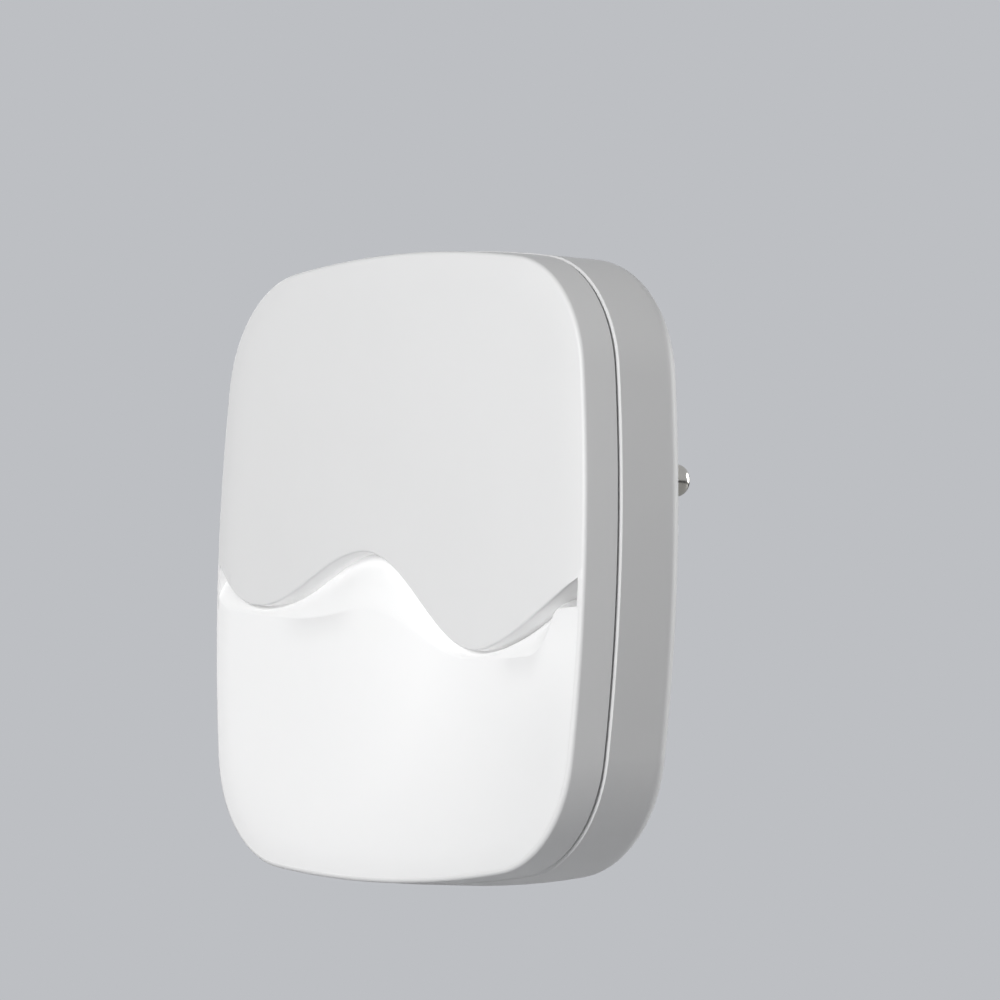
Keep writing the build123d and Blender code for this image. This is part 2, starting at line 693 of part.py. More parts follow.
def switch_body():
    """Metal can of the slide switch, slotted for its lever, with four legs."""
    width, depth, length = SWITCH_CAN
    left = switch_left()
    can = block(left + width / 2, SWITCH_DEPTH, SWITCH_RISE, SWITCH_CAN)
    foot_width, foot_depth, foot_length = LEVER_FOOT
    travel = 2 * SWITCH_TRAVEL + 2 * SLIDE_GAP
    cavity_size = (foot_width + 2 * SLIDE_GAP, foot_depth + 2 * SLIDE_GAP, foot_length + travel)
    cavity_x = left + SWITCH_CAN_WALL + cavity_size[0] / 2
    can -= block(cavity_x, SWITCH_DEPTH, SWITCH_RISE, cavity_size)
    slot = (2 * SWITCH_CAN_WALL + 2 * GAP, LEVER_SIZE + 2 * SLIDE_GAP, LEVER_SIZE + travel)
    can -= block(left, SWITCH_DEPTH, SWITCH_RISE, slot)
    for x, z in leg_places():
        can += rod(x, z, SWITCH_LEG_RADIUS, SWITCH_DEPTH + depth / 2 - GAP, DRIVER_BACK)
    return can


def switch_lever():
    """Sliding lever of the switch, with the wider foot that its can holds."""
    foot_width, foot_depth, foot_length = LEVER_FOOT
    foot_left = switch_left() + SWITCH_CAN_WALL + SLIDE_GAP
    foot = block(foot_left + foot_width / 2, SWITCH_DEPTH, SWITCH_RISE, LEVER_FOOT)
    tip = GUIDE_FACE + SLIDE_GAP
    length = foot_left - tip
    stem = block(tip + length / 2, SWITCH_DEPTH, SWITCH_RISE, (length, LEVER_SIZE, LEVER_SIZE))
    return foot + stem


def switch_knob():
    """Ribbed knob on a plate that closes the window over the whole travel."""
    inner = GUIDE_FACE + SLIDE_GAP
    plate_size = (KNOB_PLATE_THICKNESS, KNOB_PLATE_WIDTH, KNOB_PLATE_LENGTH)
    knob = block(inner + KNOB_PLATE_THICKNESS / 2, SWITCH_DEPTH, SWITCH_RISE, plate_size)
    tip = RECESS_FLOOR - KNOB_PROUD
    length = inner - tip + GAP
    neck = block(tip + length / 2, SWITCH_DEPTH, SWITCH_RISE, (length, KNOB_WIDTH, KNOB_LENGTH))
    for step in (-1, 0, 1):
        z = SWITCH_RISE + step * GRIP_PITCH
        neck -= block(tip, SWITCH_DEPTH, z, (2 * GRIP_GROOVE, KNOB_WIDTH + GAP, GRIP_GROOVE))
    socket = LEVER_SIZE + GAP
    middle = inner + KNOB_PLATE_THICKNESS / 2
    hole = block(middle, SWITCH_DEPTH, SWITCH_RISE, (KNOB_PLATE_THICKNESS, socket, socket))
    return knob + neck - hole


def plug_pin(side):
    """Plug pin: tail through the board, flange, sleeved root and bare rounded tip."""
    x = side * PIN_SPACING / 2
    flange_back = REAR_INSIDE
    flange_front = flange_back - PIN_FLANGE_THICKNESS
    sleeve_end = PLUG_FACE + SLEEVE_LENGTH
    end = PLUG_FACE + PIN_LENGTH
    profile = Polyline(
        (0, BOARD_FACE - PIN_TAIL_RISE),
        (PIN_TAIL_RADIUS, BOARD_FACE - PIN_TAIL_RISE),
        (PIN_TAIL_RADIUS, flange_front),
        (PIN_FLANGE_RADIUS, flange_front),
        (PIN_FLANGE_RADIUS, flange_back),
        (PIN_CORE_RADIUS, flange_back),
        (PIN_CORE_RADIUS, sleeve_end),
        (PIN_RADIUS, sleeve_end),
        (PIN_RADIUS, end),
        (0, end),
        close=True,
    )
    pin = revolve(make_face(profile), Axis.Y)
    tip = pin.edges().filter_by_position(Axis.Y, end - GAP, end + GAP)
    return Pos(x, 0, PLUG_RISE) * fillet(tip, PIN_TIP_ROUND)


def pin_sleeve(side):
    """Insulating sleeve round the root of a pin."""
    x = side * PIN_SPACING / 2
    end = PLUG_FACE + SLEEVE_LENGTH
    core = PIN_CORE_RADIUS + SLEEVE_GAP
    sleeve = rod(x, PLUG_RISE, SLEEVE_RADIUS, REAR_INSIDE, end)
    return sleeve - rod(x, PLUG_RISE, core, REAR_INSIDE - GAP, end + GAP)


def pin_retainer():
    """Plate that traps the pins' flanges against the rear wall."""
    outline = Pos(0, PLUG_RISE) * RectangleRounded(RETAINER_WIDTH, RETAINER_HEIGHT, RETAINER_CORNER)
    start = DRIVER_BACK
    plate = slab(outline, start, REAR_INSIDE)
    for side in (-1, 1):
        x = side * PIN_SPACING / 2
        pocket = REAR_INSIDE - PIN_FLANGE_THICKNESS
        plate -= rod(x, PLUG_RISE, PIN_FLANGE_RADIUS + GAP, pocket, REAR_INSIDE + GAP)
        plate -= rod(x, PLUG_RISE, PIN_TAIL_RADIUS + GAP, start - GAP, REAR_INSIDE)
        x = side * STAKE_SPACING / 2
        plate -= rod(x, PLUG_RISE, STAKE_RADIUS + GAP, start - GAP, REAR_INSIDE + GAP)
    return plate


def screw(x, z, seat, length, towards):
    """Round-headed screw; towards is 1 when its tip points into the wall."""
    head_end = seat - towards * SCREW_HEAD_HEIGHT
    tip = seat + towards * length
    head = rod(x, z, SCREW_HEAD_RADIUS, min(seat, head_end), max(seat, head_end))
    crown = head.edges().filter_by_position(Axis.Y, head_end - GAP, head_end + GAP)
    head = chamfer(crown, SCREW_HEAD_HEIGHT / 2)
    shank = rod(x, z, SCREW_RADIUS, min(seat, tip), max(seat, tip))
    point = shank.edges().filter_by_position(Axis.Y, tip - GAP, tip + GAP)
    return head + chamfer(point, SCREW_RADIUS / 2)


def case_screws():
    """Two screws that close the casing from behind."""
    places = case_screw_places()
    screws = [screw(x, z, CASE_SCREW_SEAT, CASE_SCREW_LENGTH, -1) for x, z in places]
    return Compound(children=screws)


def board_screws():
    """Two short screws that hold the LED board."""
    length = REAR_INSIDE - BOARD_FACE - GAP
    screws = [screw(x, z, BOARD_FACE, length, 1) for x, z in board_screw_places()]
    return Compound(children=screws)


def all_pieces():
    """Every piece of the light by name, in the light's own frame."""
    pieces = {
        "front_shell": front_shell(),
        "diffuser": diffuser(),
        "rear_shell": rear_shell(),
        "reflector_tray": reflector_tray(),
        "led_board": led_board(),
        "light_sensor": light_sensor(),
        "sensor_shroud": sensor_shroud(),
        "driver_board": driver_board(),
        "film_capacitor": film_capacitor(),
        "can_capacitor": can_capacitor(),
        "bridge_rectifier": bridge_rectifier(),
        "driver_chip": driver_chip(),
        "fuse_resistor": fuse_resistor(),
        "chip_resistors": chip_resistors(),
        "link_wires": link_wires(),
        "switch_body": switch_body(),
        "switch_lever": switch_lever(),
        "switch_knob": switch_knob(),
        "pin_retainer": pin_retainer(),
        "case_screws": case_screws(),
        "board_screws": board_screws(),
    }
    for number, (x, z) in enumerate(led_places(), start=1):
        pieces[f"led_{number}"] = light_source(x, z)
    for name, side in (("left", -1), ("right", 1)):
        pieces[f"plug_pin_{name}"] = plug_pin(side)
        pieces[f"pin_sleeve_{name}"] = pin_sleeve(side)
    return pieces


os.makedirs("parts", exist_ok=True)
for node, piece in all_pieces().items():
    export_step(place(piece), f"parts/{node}.step")
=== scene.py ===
import json
import math

import bmesh
import bpy
from mathutils import Euler, Matrix, Vector
from mathutils.geometry import interpolate_bezier


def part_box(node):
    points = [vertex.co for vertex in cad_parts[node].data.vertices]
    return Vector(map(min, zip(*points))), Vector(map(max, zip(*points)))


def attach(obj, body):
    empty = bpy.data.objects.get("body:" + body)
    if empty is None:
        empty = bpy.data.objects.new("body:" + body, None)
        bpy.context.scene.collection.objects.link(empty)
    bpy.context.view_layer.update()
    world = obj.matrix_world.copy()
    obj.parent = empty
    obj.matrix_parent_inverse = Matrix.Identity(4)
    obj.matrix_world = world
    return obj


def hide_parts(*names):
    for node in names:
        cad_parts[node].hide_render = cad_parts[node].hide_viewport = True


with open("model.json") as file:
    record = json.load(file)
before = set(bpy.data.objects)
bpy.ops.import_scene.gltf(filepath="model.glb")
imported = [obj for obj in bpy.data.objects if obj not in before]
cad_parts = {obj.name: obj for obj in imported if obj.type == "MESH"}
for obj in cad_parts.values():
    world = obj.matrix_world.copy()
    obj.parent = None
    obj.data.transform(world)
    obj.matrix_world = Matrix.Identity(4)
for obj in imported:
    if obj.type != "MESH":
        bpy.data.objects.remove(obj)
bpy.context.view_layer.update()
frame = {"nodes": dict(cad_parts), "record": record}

bl_info = {
    "name": "Plug-in Night Light",
    "version": (1, 0, 0),
    "blender": (4, 5, 0),
    "location": "3D View > Sidebar > Night Light",
    "description": "Dresses the packed night light: panel, diffuser, finishes and studio",
    "category": "Object",
}

MM = 0.001
SHELL_LOW, SHELL_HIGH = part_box("front_shell")
KNOB_LOW, KNOB_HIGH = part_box("switch_knob")

# The light's own frame: depth from the front face, height from the middle
FACE = SHELL_LOW.y
MIDDLE = (SHELL_LOW.z + SHELL_HIGH.z) / 2
HALF_WIDTH = (SHELL_HIGH.x - SHELL_LOW.x) / 2
HALF_HEIGHT = (SHELL_HIGH.z - SHELL_LOW.z) / 2

# Steps in the outline's arcs, in the section of the front edge and in the edge curves
SIDE_STEPS, CORNER_STEPS = 14, 20
ROUND_STEPS, ROLL_STEPS = 8, 10
CURVE_STEPS, FOLLOW_STEPS = 24, 32

# Fineness of the knob's grip, across it and along its ribs
GRIP_STEPS = (12, 60)

# Fineness of the sheets across the wave and along the floor, and the floor's share of them
COLUMNS, FLOOR_ROWS = 150, 20
RAMP_SHARE = 0.9

# Where the cutting tools start, clear of the face, and how far joined pieces overlap
AHEAD = -2 * MM
OVERLAP = 0.05 * MM

# Wave edge: place along the width, height, slope and curve reach to each side, in mm
WAVE = (
    (-38.0, 2.6, -1.1, 0.0, 3.16),
    (-27.3, -4.32, 0.0, 5.4, 7.6),
    (-6.1, 1.95, 0.0, 7.8, 8.84),
    (17.1, -10.12, 0.0, 8.31, 5.28),
    (38.0, -0.94, 0.49, 7.06, 0.0),
)
TROUGHS = (WAVE[1][0], WAVE[3][0])

# Lip where the floor under the wave reaches the front: place, height and slope, in mm
LIP = (
    (-38.0, -4.6, -0.125),
    (-28.0, -5.6, -0.083),
    (-14.0, -5.9, 0.09),
    (-5.0, -5.2, -0.057),
    (5.0, -8.0, -0.434),
    (13.0, -11.0, -0.201),
    (20.0, -11.3, -0.02),
    (27.0, -11.0, 0.03),
    (29.6, -10.1, 0.75),
    (31.2, -8.2, 1.7),
    (32.3, -6.1, 1.3),
    (33.5, -5.45, 0.1),
    (38.0, -5.4, 0.0),
)

# Crisp parts of the lip: middle along the width and reach to each side, in mm
FOLDS = ((-15.5, 8.0), (27.5, 5.5))
SOFT_FOLD = 0.15

# Pocket at the wave's right end: where it deepens and where its floor plunges, in mm, and
# how much faster it falls there
POCKET = (30.0, 32.5)
PLUNGE = (32.2, 33.4)
PLUNGE_RATE = 6

# Painted shade in two crescents under the lip: place along the width in mm, and share of the
# painted shade
LEFT_LIP_SHADE = ((-24, 0.0), (-17, 1.0), (-12, 1.0), (-6, 0.0))
RIGHT_LIP_SHADE = ((21, 0.0), (25, 0.9), (28, 0.9), (32, 0.0))
# Reach of the painted shade's ramp to each side of the middle, in mm
LIP_SHADE_SPAN = 40

# Turn of the board's weave from thread to thread, in radians
WEAVE_TURN = 6.283

# Lamps: name, property with the power, direction, distance and size in metres
LAMPS = (
    ("key_lamp", "key", (0.288, -0.922, 0.25), 0.6, 0.23),
    ("top_lamp", "top", (0.1, -0.25, 1.0), 1.2, 0.7),
    ("back_lamp", "back", (0.2, 0.95, 0.2), 1.3, 0.7),
    ("left_lamp", "left", (-1.0, 0.3, 0.25), 1.3, 0.6),
)
# Share of its own colour that the lamps bring out of the floor
FLOOR_LIGHT = 0.3


def tint(code):
    """Turns an sRGB hex value into the linear colour that the shaders take."""
    parts = [int(code[i : i + 2], 16) / 255 for i in (0, 2, 4)]
    return tuple(c / 12.92 if c <= 0.04045 else ((c + 0.055) / 1.055) ** 2.4 for c in parts)


def number(name, description, value, **settings):
    """A number property."""
    return bpy.props.FloatProperty(name=name, description=description, default=value, **settings)


def length(name, description, millimetres):
    """A length property with its default in millimetres."""
    return number(name, description, millimetres * MM, min=0.0, unit="LENGTH")


def power(name, watts):
    """A property with a lamp's power."""
    return number(name, f"Power of the {name.lower()} lamp", watts, unit="POWER")


def colour(name, description, code):
    """A colour property with its default as an sRGB hex value."""
    return bpy.props.FloatVectorProperty(
        name=name, description=description, default=tint(code), min=0, max=1, subtype="COLOR"
    )


class NightLightForm(bpy.types.PropertyGroup):
    """Sizes of the casing's visible surfaces."""

    side_radius: length("Side radius", "Radius of the long arcs of the outline", 184.0)
    corner_radius: length("Corner radius", "Radius of the outline's corners", 15.9)
    front_depth: length("Front depth", "Depth of the front half, to the seam", 4.8)
    draft: length("Draft", "How much the sides close in from the seam to the face", 0.85)
    upright: length("Upright ends", "Draft that the top and bottom walls lack", 0.6)
    sag: length("Sag", "How far the front edge sits below the seam's middle", 0.15)
    face_round: length("Face round", "Radius of the front edge", 0.65)
    roll: length("Roll", "How far in from the side the face starts to fall away", 5.0)
    roll_drop: length("Roll drop", "How far the face has fallen where the round starts", 0.3)
    seam_step: length("Seam step", "How far the front half stands back at the seam", 0.13)
    seam_edge: length("Seam edge", "Chamfer of the front half at the seam", 0.08)
    side_wall: length("Side wall", "Thickness of the side wall", 1.6)
    face_wall: length("Face wall", "Thickness of the front panel", 1.8)
    lap_wall: length("Lap wall", "Thickness of the outer wall at the seam's overlap", 0.75)
    lap_depth: length("Lap depth", "Depth of the seam's overlap", 1.4)
    rim: length("Rim", "Width of the rim round the diffuser", 1.35)
    step: length("Step", "Depth of the floor at the foot of the wave", 3.2)
    pocket: length("Pocket", "How much deeper the floor lies at the wave's right end", 0.65)
    skirt: length("Skirt", "Width of the wall under the wave edge", 1.8)
    wave_round: length("Wave edge round", "Rounding of the panel's wave edge", 0.24)
    diffuser_wall: length("Diffuser wall", "Thickness of the diffuser", 1.6)
    diffuser_gap: length("Diffuser gap", "Gap between the rim and the diffuser", 0.015)
    diffuser_top: length("Diffuser top", "Height of the diffuser's top edge", 6.0)
    tongue: length("Tongue", "Reach of the diffuser's hidden edge behind its floor", 0.4)
    pin_spacing: length("Pin spacing", "Distance between the plug's pins", 19.0)
    pin_radius: length("Pin radius", "Radius of the plug's pins", 2.0)
    pin_dome: length("Pin dome", "Rounding of the pins' tips", 1.4)
    knob_edge: length("Knob edge", "Rounding of the switch knob's edges", 0.12)
    knob_plate: length("Knob plate", "Thickness of the plate behind the knob", 1.0)
    knob_grip: length("Grip length", "Length of the ribbed part along the slot", 3.2)
    knob_width: length("Grip width", "Width of the ribbed part across the slot", 3.0)
    knob_groove: length("Grip groove", "Depth of the grooves between the ribs", 0.3)
    knob_pitch: length("Grip pitch", "Distance from groove to groove", 0.8)
    fold: number("Fold", "How crisply the floor folds at the front", 0.55, min=0.0, max=1.0)


class NightLightFinish(bpy.types.PropertyGroup):
    """Colours of the visible finishes, the strength of the glow and of the painted shade under
    the lip.
    """

    shell: colour("Casing", "White of the moulded casing", "F0F0F0")
    diffuser: colour("Diffuser", "White of the opal diffuser", "F4F4F4")
    glow_colour: colour("Glow colour", "Colour of the light through the diffuser", "FFFFFF")
    knob: colour("Knob", "White of the switch knob", "E9E9E8")
    glow: number("Glow", "Light that leaves the diffuser away from the hot spot", 0.15, min=0.0)
    hot_spot: number("Hot spot", "Extra light below the wave, near the sources", 0.07, min=0.0)
    # Strength of the painted shade: glow taken off in two crescents under the lip
    dimples: number("Dimples", "Light lost in the two dimples under the lip", 0.09, min=0.0)


class NightLightStage(bpy.types.PropertyGroup):
    """Studio: backdrop, lamps and camera."""

    backdrop: colour("Backdrop", "Colour seen behind the light", "BDBFC3")
    floor: colour("Floor", "Colour of the studio floor", "CCCDCF")
    floor_drop: length("Floor drop", "Distance from the light's plug down to the floor", 300.0)
    key: power("Key", 2.85)
    top: power("Top", 0.4)
    back: power("Back", 9.0)
    left: power("Left", 3.0)
    ambient: number("Ambient", "Strength of the light from all round", 0.07)
    lens: number("Lens", "Focal length of the camera", 251.867, unit="CAMERA")
    camera_place: bpy.props.FloatVectorProperty(
        name="Camera place",
        description="Where the camera stands",
        default=(0.6772295, -0.5108642, -0.0463529),
        subtype="TRANSLATION",
        unit="LENGTH",
    )
    camera_turn: bpy.props.FloatVectorProperty(
        name="Camera turn",
        description="Which way the camera looks",
        default=(math.radians(92.91579), math.radians(-1.66904), math.radians(52.98876)),
        subtype="EULER",
        unit="ROTATION",
    )


# ---------------------------------------------------------------- curves


def arc(centre, radius, start_angle, end_angle, steps=8):
    """Points of an arc in a profile, with angles in degrees from the radial direction."""
    angles = [start_angle + (end_angle - start_angle) * step / steps for step in range(steps + 1)]
    turns = [(math.cos(math.radians(angle)), math.sin(math.radians(angle))) for angle in angles]
    return [(centre[0] + radius * cosine, centre[1] + radius * sine) for cosine, sine in turns]


def face_profile(form):
    """Section of the front edge as (inset, depth): a round off the drafted side, then a
    long shallow roll-off to the flat of the face."""
    lean = math.atan(form.draft / form.front_depth)
    # Angle in degrees where the round ends, and how much longer the handle on the flat is
    last, flat_reach = 82, 1.4
    middle = form.roll_drop + form.face_round * math.sin(math.radians(last))
    side = form.draft - math.tan(lean) * (middle - form.face_round * math.sin(lean))
    centre = (side + form.face_round * math.cos(lean), middle)
    round_off = arc(centre, -form.face_round, math.degrees(lean), last, ROUND_STEPS)
    points = [Vector(point) for point in round_off]
    start, end = points[-1], Vector((form.roll, 0))
    reach = (end.x - start.x) / 3
    leave = start + Vector((reach, -reach / math.tan(math.radians(last))))
    arrive = end - Vector((flat_reach * reach, 0))
    return points + interpolate_bezier(start, leave, arrive, end, ROLL_STEPS)[1:]


def edge_line(knots):
    """Samples an edge curve through its knots, in metres."""
    line = []
    for (x0, z0, slope0, _, after), (x1, z1, slope1, before, _) in zip(knots, knots[1:]):
        start, end = Vector((x0, z0)), Vector((x1, z1))
        leave, arrive = Vector((after, after * slope0)), Vector((before, before * slope1))
        curve = interpolate_bezier(start, start + leave, end - arrive, end, CURVE_STEPS)
        line += [point * MM for point in curve]
    return line


def with_reach(knots):
    """Adds to (place, height, slope) knots a reach of a third of the way to each side."""
    thirds = [(high[0] - low[0]) / 3 for low, high in zip(knots, knots[1:])]
    return [(*knot, *reach) for knot, *reach in zip(knots, [0, *thirds], [*thirds, 0])]


def height_at(line, x):
    """Height of a curve at a place along its first axis."""
    for low, high in zip(line, line[1:]):
        if x <= high.x and high.x > low.x:
            return low.y + (high.y - low.y) * (x - low.x) / (high.x - low.x)
    return line[-1].y


def smooth(x, start, end):
    """Eases from 0 to 1 between two places along the width, in mm."""
    share = min(1.0, max(0.0, (x / MM - start) / (end - start)))
    return share * share * (3 - 2 * share)


def foot_depth(form, x):
    """Depth at the foot of the wave's wall, deepest at the right end."""
    return form.step + form.pocket * smooth(x, *POCKET)


def crispness(form, x):
    """How crisply the floor folds at the lip: most above the two crescents of painted shade."""
    folds = [max(0.0, 1 - ((x - at * MM) / (wide * MM)) ** 2) for at, wide in FOLDS]
    return form.fold * max(SOFT_FOLD, *folds)


WAVE_LINE = edge_line(WAVE)
LIP_LINE = edge_line(with_reach(LIP))


# ---------------------------------------------------------------- modelling


def as_object(bm, name, origin=(0, FACE, MIDDLE)):
    """Puts a mesh into the scene, from a frame of its own into the plug's."""
    bmesh.ops.translate(bm, verts=bm.verts, vec=origin)
    mesh = bpy.data.meshes.new(name)
    bm.to_mesh(mesh)
    bm.free()
    made = bpy.data.objects.new(name, mesh)
    bpy.context.scene.collection.objects.link(made)
    return made


def around(verts, kind):
    """The link_edges or link_faces of some points, each once and always in the same order."""
    return list(dict.fromkeys(found for vertex in verts for found in getattr(vertex, kind)))


def quarter(bm, form, inset, depth):
    """Adds a quarter of the casing's outline at a depth, moved in by an inset, as edges: a
    long side arc, a corner arc tangent to it and a long end arc."""
    side = Vector((HALF_WIDTH - form.side_radius, 0))
    end = Vector((0, HALF_HEIGHT - form.side_radius))
    reach, half = form.side_radius - form.corner_radius, (end - side).length / 2
    corner = (side + end) / 2 + Vector((1, 1)).normalized() * math.sqrt(reach**2 - half**2)
    low = math.atan2(corner.y - side.y, corner.x - side.x)
    high = math.atan2(corner.y - end.y, corner.x - end.x)
    arcs = (
        (side, low, SIDE_STEPS),
        (corner, high - low, CORNER_STEPS),
        (end, math.pi / 2 - high, SIDE_STEPS),
    )
    vertex = bm.verts.new((HALF_WIDTH - inset, depth, 0))
    edges = []
    for centre, angle, steps in arcs:
        known = set(bm.edges)
        swung = bmesh.ops.spin(
            bm,
            geom=[vertex],
            cent=(centre.x, depth, centre.y),
            axis=(0, -1, 0),
            angle=angle,
            steps=steps,
            use_merge=False,
        )
        vertex = next(v for v in swung["geom_last"] if isinstance(v, bmesh.types.BMVert))
        edges += [edge for edge in bm.edges if edge not in known]
    vertex.co.x = 0
    return edges


def loft(form, stations, name):
    """Closed form through the casing's outline at each (inset, depth) in turn."""
    bm = bmesh.new()
    chains = [quarter(bm, form, inset, depth) for inset, depth in stations]
    for near, far in zip(chains, chains[1:]):
        bmesh.ops.bridge_loops(bm, edges=near + far)
    for axis in ("X", "Z"):
        half = [*bm.verts, *bm.edges, *bm.faces]
        bmesh.ops.mirror(bm, geom=half, matrix=Matrix.Identity(4), merge_dist=1e-7, axis=axis)
    bmesh.ops.edgeloop_fill(bm, edges=[edge for edge in bm.edges if edge.is_boundary])
    for vertex in bm.verts:
        ahead = 1 - vertex.co.y / form.front_depth
        vertex.co.z += ahead * (form.upright * vertex.co.z / HALF_HEIGHT - form.sag)
    bmesh.ops.recalc_face_normals(bm, faces=bm.faces)
    return as_object(bm, name)


def slab(name, columns, rows, shape, travel, origin=(0, FACE, MIDDLE)):
    """A sheet whose points lie where shape(x, share of the way up) says, swept along a line
    into a closed block."""
    bm = bmesh.new()
    verts = bmesh.ops.create_grid(bm, x_segments=columns, y_segments=rows, size=0.5)["verts"]
    for vertex in verts:
        across, up = vertex.co.x + 0.5, vertex.co.y + 0.5
        vertex.co = shape((2 * across - 1) * (HALF_WIDTH + MM), up)
    faces = around(verts, "link_faces")
    swept = bmesh.ops.extrude_face_region(bm, geom=faces, use_keep_orig=True)["geom"]
    moved = [v for v in swept if isinstance(v, bmesh.types.BMVert)]
    bmesh.ops.translate(bm, verts=moved, vec=travel)
    bmesh.ops.recalc_face_normals(bm, faces=bm.faces)
    return as_object(bm, name, origin)


def turned(name, profile, origin, steps=48):
    """Turns a profile of (radius, depth) points, in mm, about an axis along the depth."""
    bm = bmesh.new()
    vertex = bm.verts.new((profile[0][0] * MM, profile[0][1] * MM, 0))
    chain = [vertex]
    for radius, depth in profile[1:]:
        vertex = bmesh.ops.extrude_vert_indiv(bm, verts=[vertex])["verts"][0]
        vertex.co = (radius * MM, depth * MM, 0)
        chain.append(vertex)
    bmesh.ops.spin(
        bm,
        geom=[*chain, *around(chain, "link_edges")],
        cent=(0, 0, 0),
        axis=(0, 1, 0),
        angle=2 * math.pi,
        steps=steps,
        use_merge=True,
    )
    bmesh.ops.remove_doubles(bm, verts=bm.verts, dist=1e-6)
    bmesh.ops.recalc_face_normals(bm, faces=bm.faces)
    return as_object(bm, name, origin)


def cuboid(bm, low, high, edge=0.0):
    """A block between two corners, with its edges rounded."""
    verts = bmesh.ops.create_cube(bm, size=1.0)["verts"]
    bmesh.ops.scale(bm, verts=verts, vec=high - low)
    bmesh.ops.translate(bm, verts=verts, vec=(low + high) / 2)
    if edge:
        edges = around(verts, "link_edges")
        bmesh.ops.bevel(
            bm, geom=edges, offset=edge, affect="EDGES", segments=3, profile=0.5, material=-1
        )


def combine(piece, tool, operation):
    """Cuts, joins or trims a piece with a tool, and throws the tool away."""
    modifier = piece.modifiers.new("Combine", "BOOLEAN")
    modifier.object = tool
    modifier.operation = operation
    modifier.solver = "EXACT"
    bpy.context.view_layer.update()
    graph = bpy.context.evaluated_depsgraph_get()
    mesh = bpy.data.meshes.new_from_object(piece.evaluated_get(graph))
    if not mesh.polygons:
        raise RuntimeError(f"{piece.name} came out empty")
    piece.modifiers.clear()
    worn, spare = piece.data, tool.data
    piece.data = mesh
    bpy.data.objects.remove(tool)
    bpy.data.meshes.remove(worn)
    bpy.data.meshes.remove(spare)


def trim(piece, form, inset, start, end):
    """Cuts a piece back to the casing's outline, moved in by an inset, between two depths."""
    combine(piece, loft(form, [(inset, start), (inset, end)], "well"), "INTERSECT")


def tidy(piece, angle=30):
    """Merges doubles, turns faces outwards and shades smooth between sharp edges."""
    bm = bmesh.new()
    bm.from_mesh(piece.data)
    bmesh.ops.remove_doubles(bm, verts=bm.verts, dist=2e-6)
    bmesh.ops.dissolve_degenerate(bm, edges=bm.edges, dist=1e-6)
    bmesh.ops.recalc_face_normals(bm, faces=bm.faces)
    for face in bm.faces:
        face.smooth = True
    for edge in bm.edges:
        edge.smooth = edge.is_manifold and edge.calc_face_angle(0) < math.radians(angle)
    bm.to_mesh(piece.data)
    bm.free()
    weighted = piece.modifiers.new("Even shading", "WEIGHTED_NORMAL")
    weighted.keep_sharp = True
    weighted.weight = 90


def dress(piece, body, slot, *nodes):
    """Gives a piece its finish and its body, and hides the nodes that it stands for."""
    piece.data.materials.clear()
    piece.data.materials.append(finish(slot))
    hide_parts(*nodes)
    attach(piece, body)


# ---------------------------------------------------------------- shader nodes


def shade_of(colour, factor=1.0):
    """A colour made darker or lighter by a factor, with its alpha."""
    return (*[min(1.0, c * factor) for c in colour[:3]], 1.0)


def paint(code, factor=1.0):
    """An sRGB hex value as a shader colour, made darker or lighter by a factor."""
    return shade_of(tint(code), factor)


def per(millimetres):
    """Texture scale at which one feature is this many millimetres across."""
    return 1 / (millimetres * MM)


def feed(tree, node, values):
    """Sets a node's inputs, or links them to sockets or to the first outputs of nodes."""
    for name, value in values.items():
        if isinstance(value, bpy.types.Node):
            value = value.outputs[0]
        if isinstance(value, bpy.types.NodeSocket):
            tree.links.new(value, node.inputs[name])
        else:
            node.inputs[name].default_value = value


def add(tree, kind, *values, **settings):
    """Adds a node with its settings, and feeds its inputs in order or by name from a dict."""
    node = tree.nodes.new("ShaderNode" + kind)
    for name, value in settings.items():
        setattr(node, name, value)
    for index, value in enumerate(values):
        feed(tree, node, value if isinstance(value, dict) else {index: value})
    return node


def start(name):
    """Opens a material: its tree, its shader and its Object coordinates."""
    material = bpy.data.materials.new(name)
    material.use_nodes = True
    tree = material.node_tree
    tree.nodes.clear()
    shader = add(tree, "BsdfPrincipled")
    add(tree, "OutputMaterial", {"Surface": shader})
    return material, tree, shader, add(tree, "TexCoord").outputs["Object"]


def product(tree, *factors):
    """Multiplies values together."""
    result = factors[0]
    for factor in factors[1:]:
        result = add(tree, "Math", result, factor, operation="MULTIPLY")
    return result


def stop_at(ramp, interpolation, stops):
    """Sets a colour ramp's stops, given as (position, colour)."""
    ramp.interpolation = interpolation
    while len(ramp.elements) < len(stops):
        ramp.elements.new(0.5)
    for element, (at, colour_there) in zip(ramp.elements, stops):
        element.position = at
        element.color = colour_there


def ball(tree, place, centre, size, kind="SPHERICAL"):
    """Falls from 1 at a centre to 0 on an ellipsoid round it, both in mm in the light's frame."""
    middle = (centre[0] * MM, FACE, MIDDLE + centre[1] * MM)
    # Reaches 60 mm back, so far that the depth of the front hardly counts
    reach = (size[0] * MM, 60 * MM, size[1] * MM)
    inputs = {"Vector": place, "Location": middle, "Scale": reach}
    local = add(tree, "Mapping", inputs, vector_type="TEXTURE")
    return add(tree, "TexGradient", local, gradient_type=kind).outputs["Fac"]


def follow(tree, across, line):
    """Height of an edge curve at each place across the width."""
    share = add(tree, "MapRange", across, -HALF_WIDTH, HALF_WIDTH, 0.0, 1.0)
    node = add(tree, "FloatCurve", {"Value": share})
    curve = node.mapping.curves[0]
    while len(curve.points) <= FOLLOW_STEPS:
        curve.points.new(0.5, 0.5)
    for step, point in enumerate(curve.points):
        at = step / FOLLOW_STEPS
        height = height_at(line, (2 * at - 1) * HALF_WIDTH)
        point.location = (at, (height + HALF_HEIGHT) / (2 * HALF_HEIGHT))
    node.mapping.update()
    return add(tree, "MapRange", node, 0.0, 1.0, MIDDLE - HALF_HEIGHT, MIDDLE + HALF_HEIGHT)


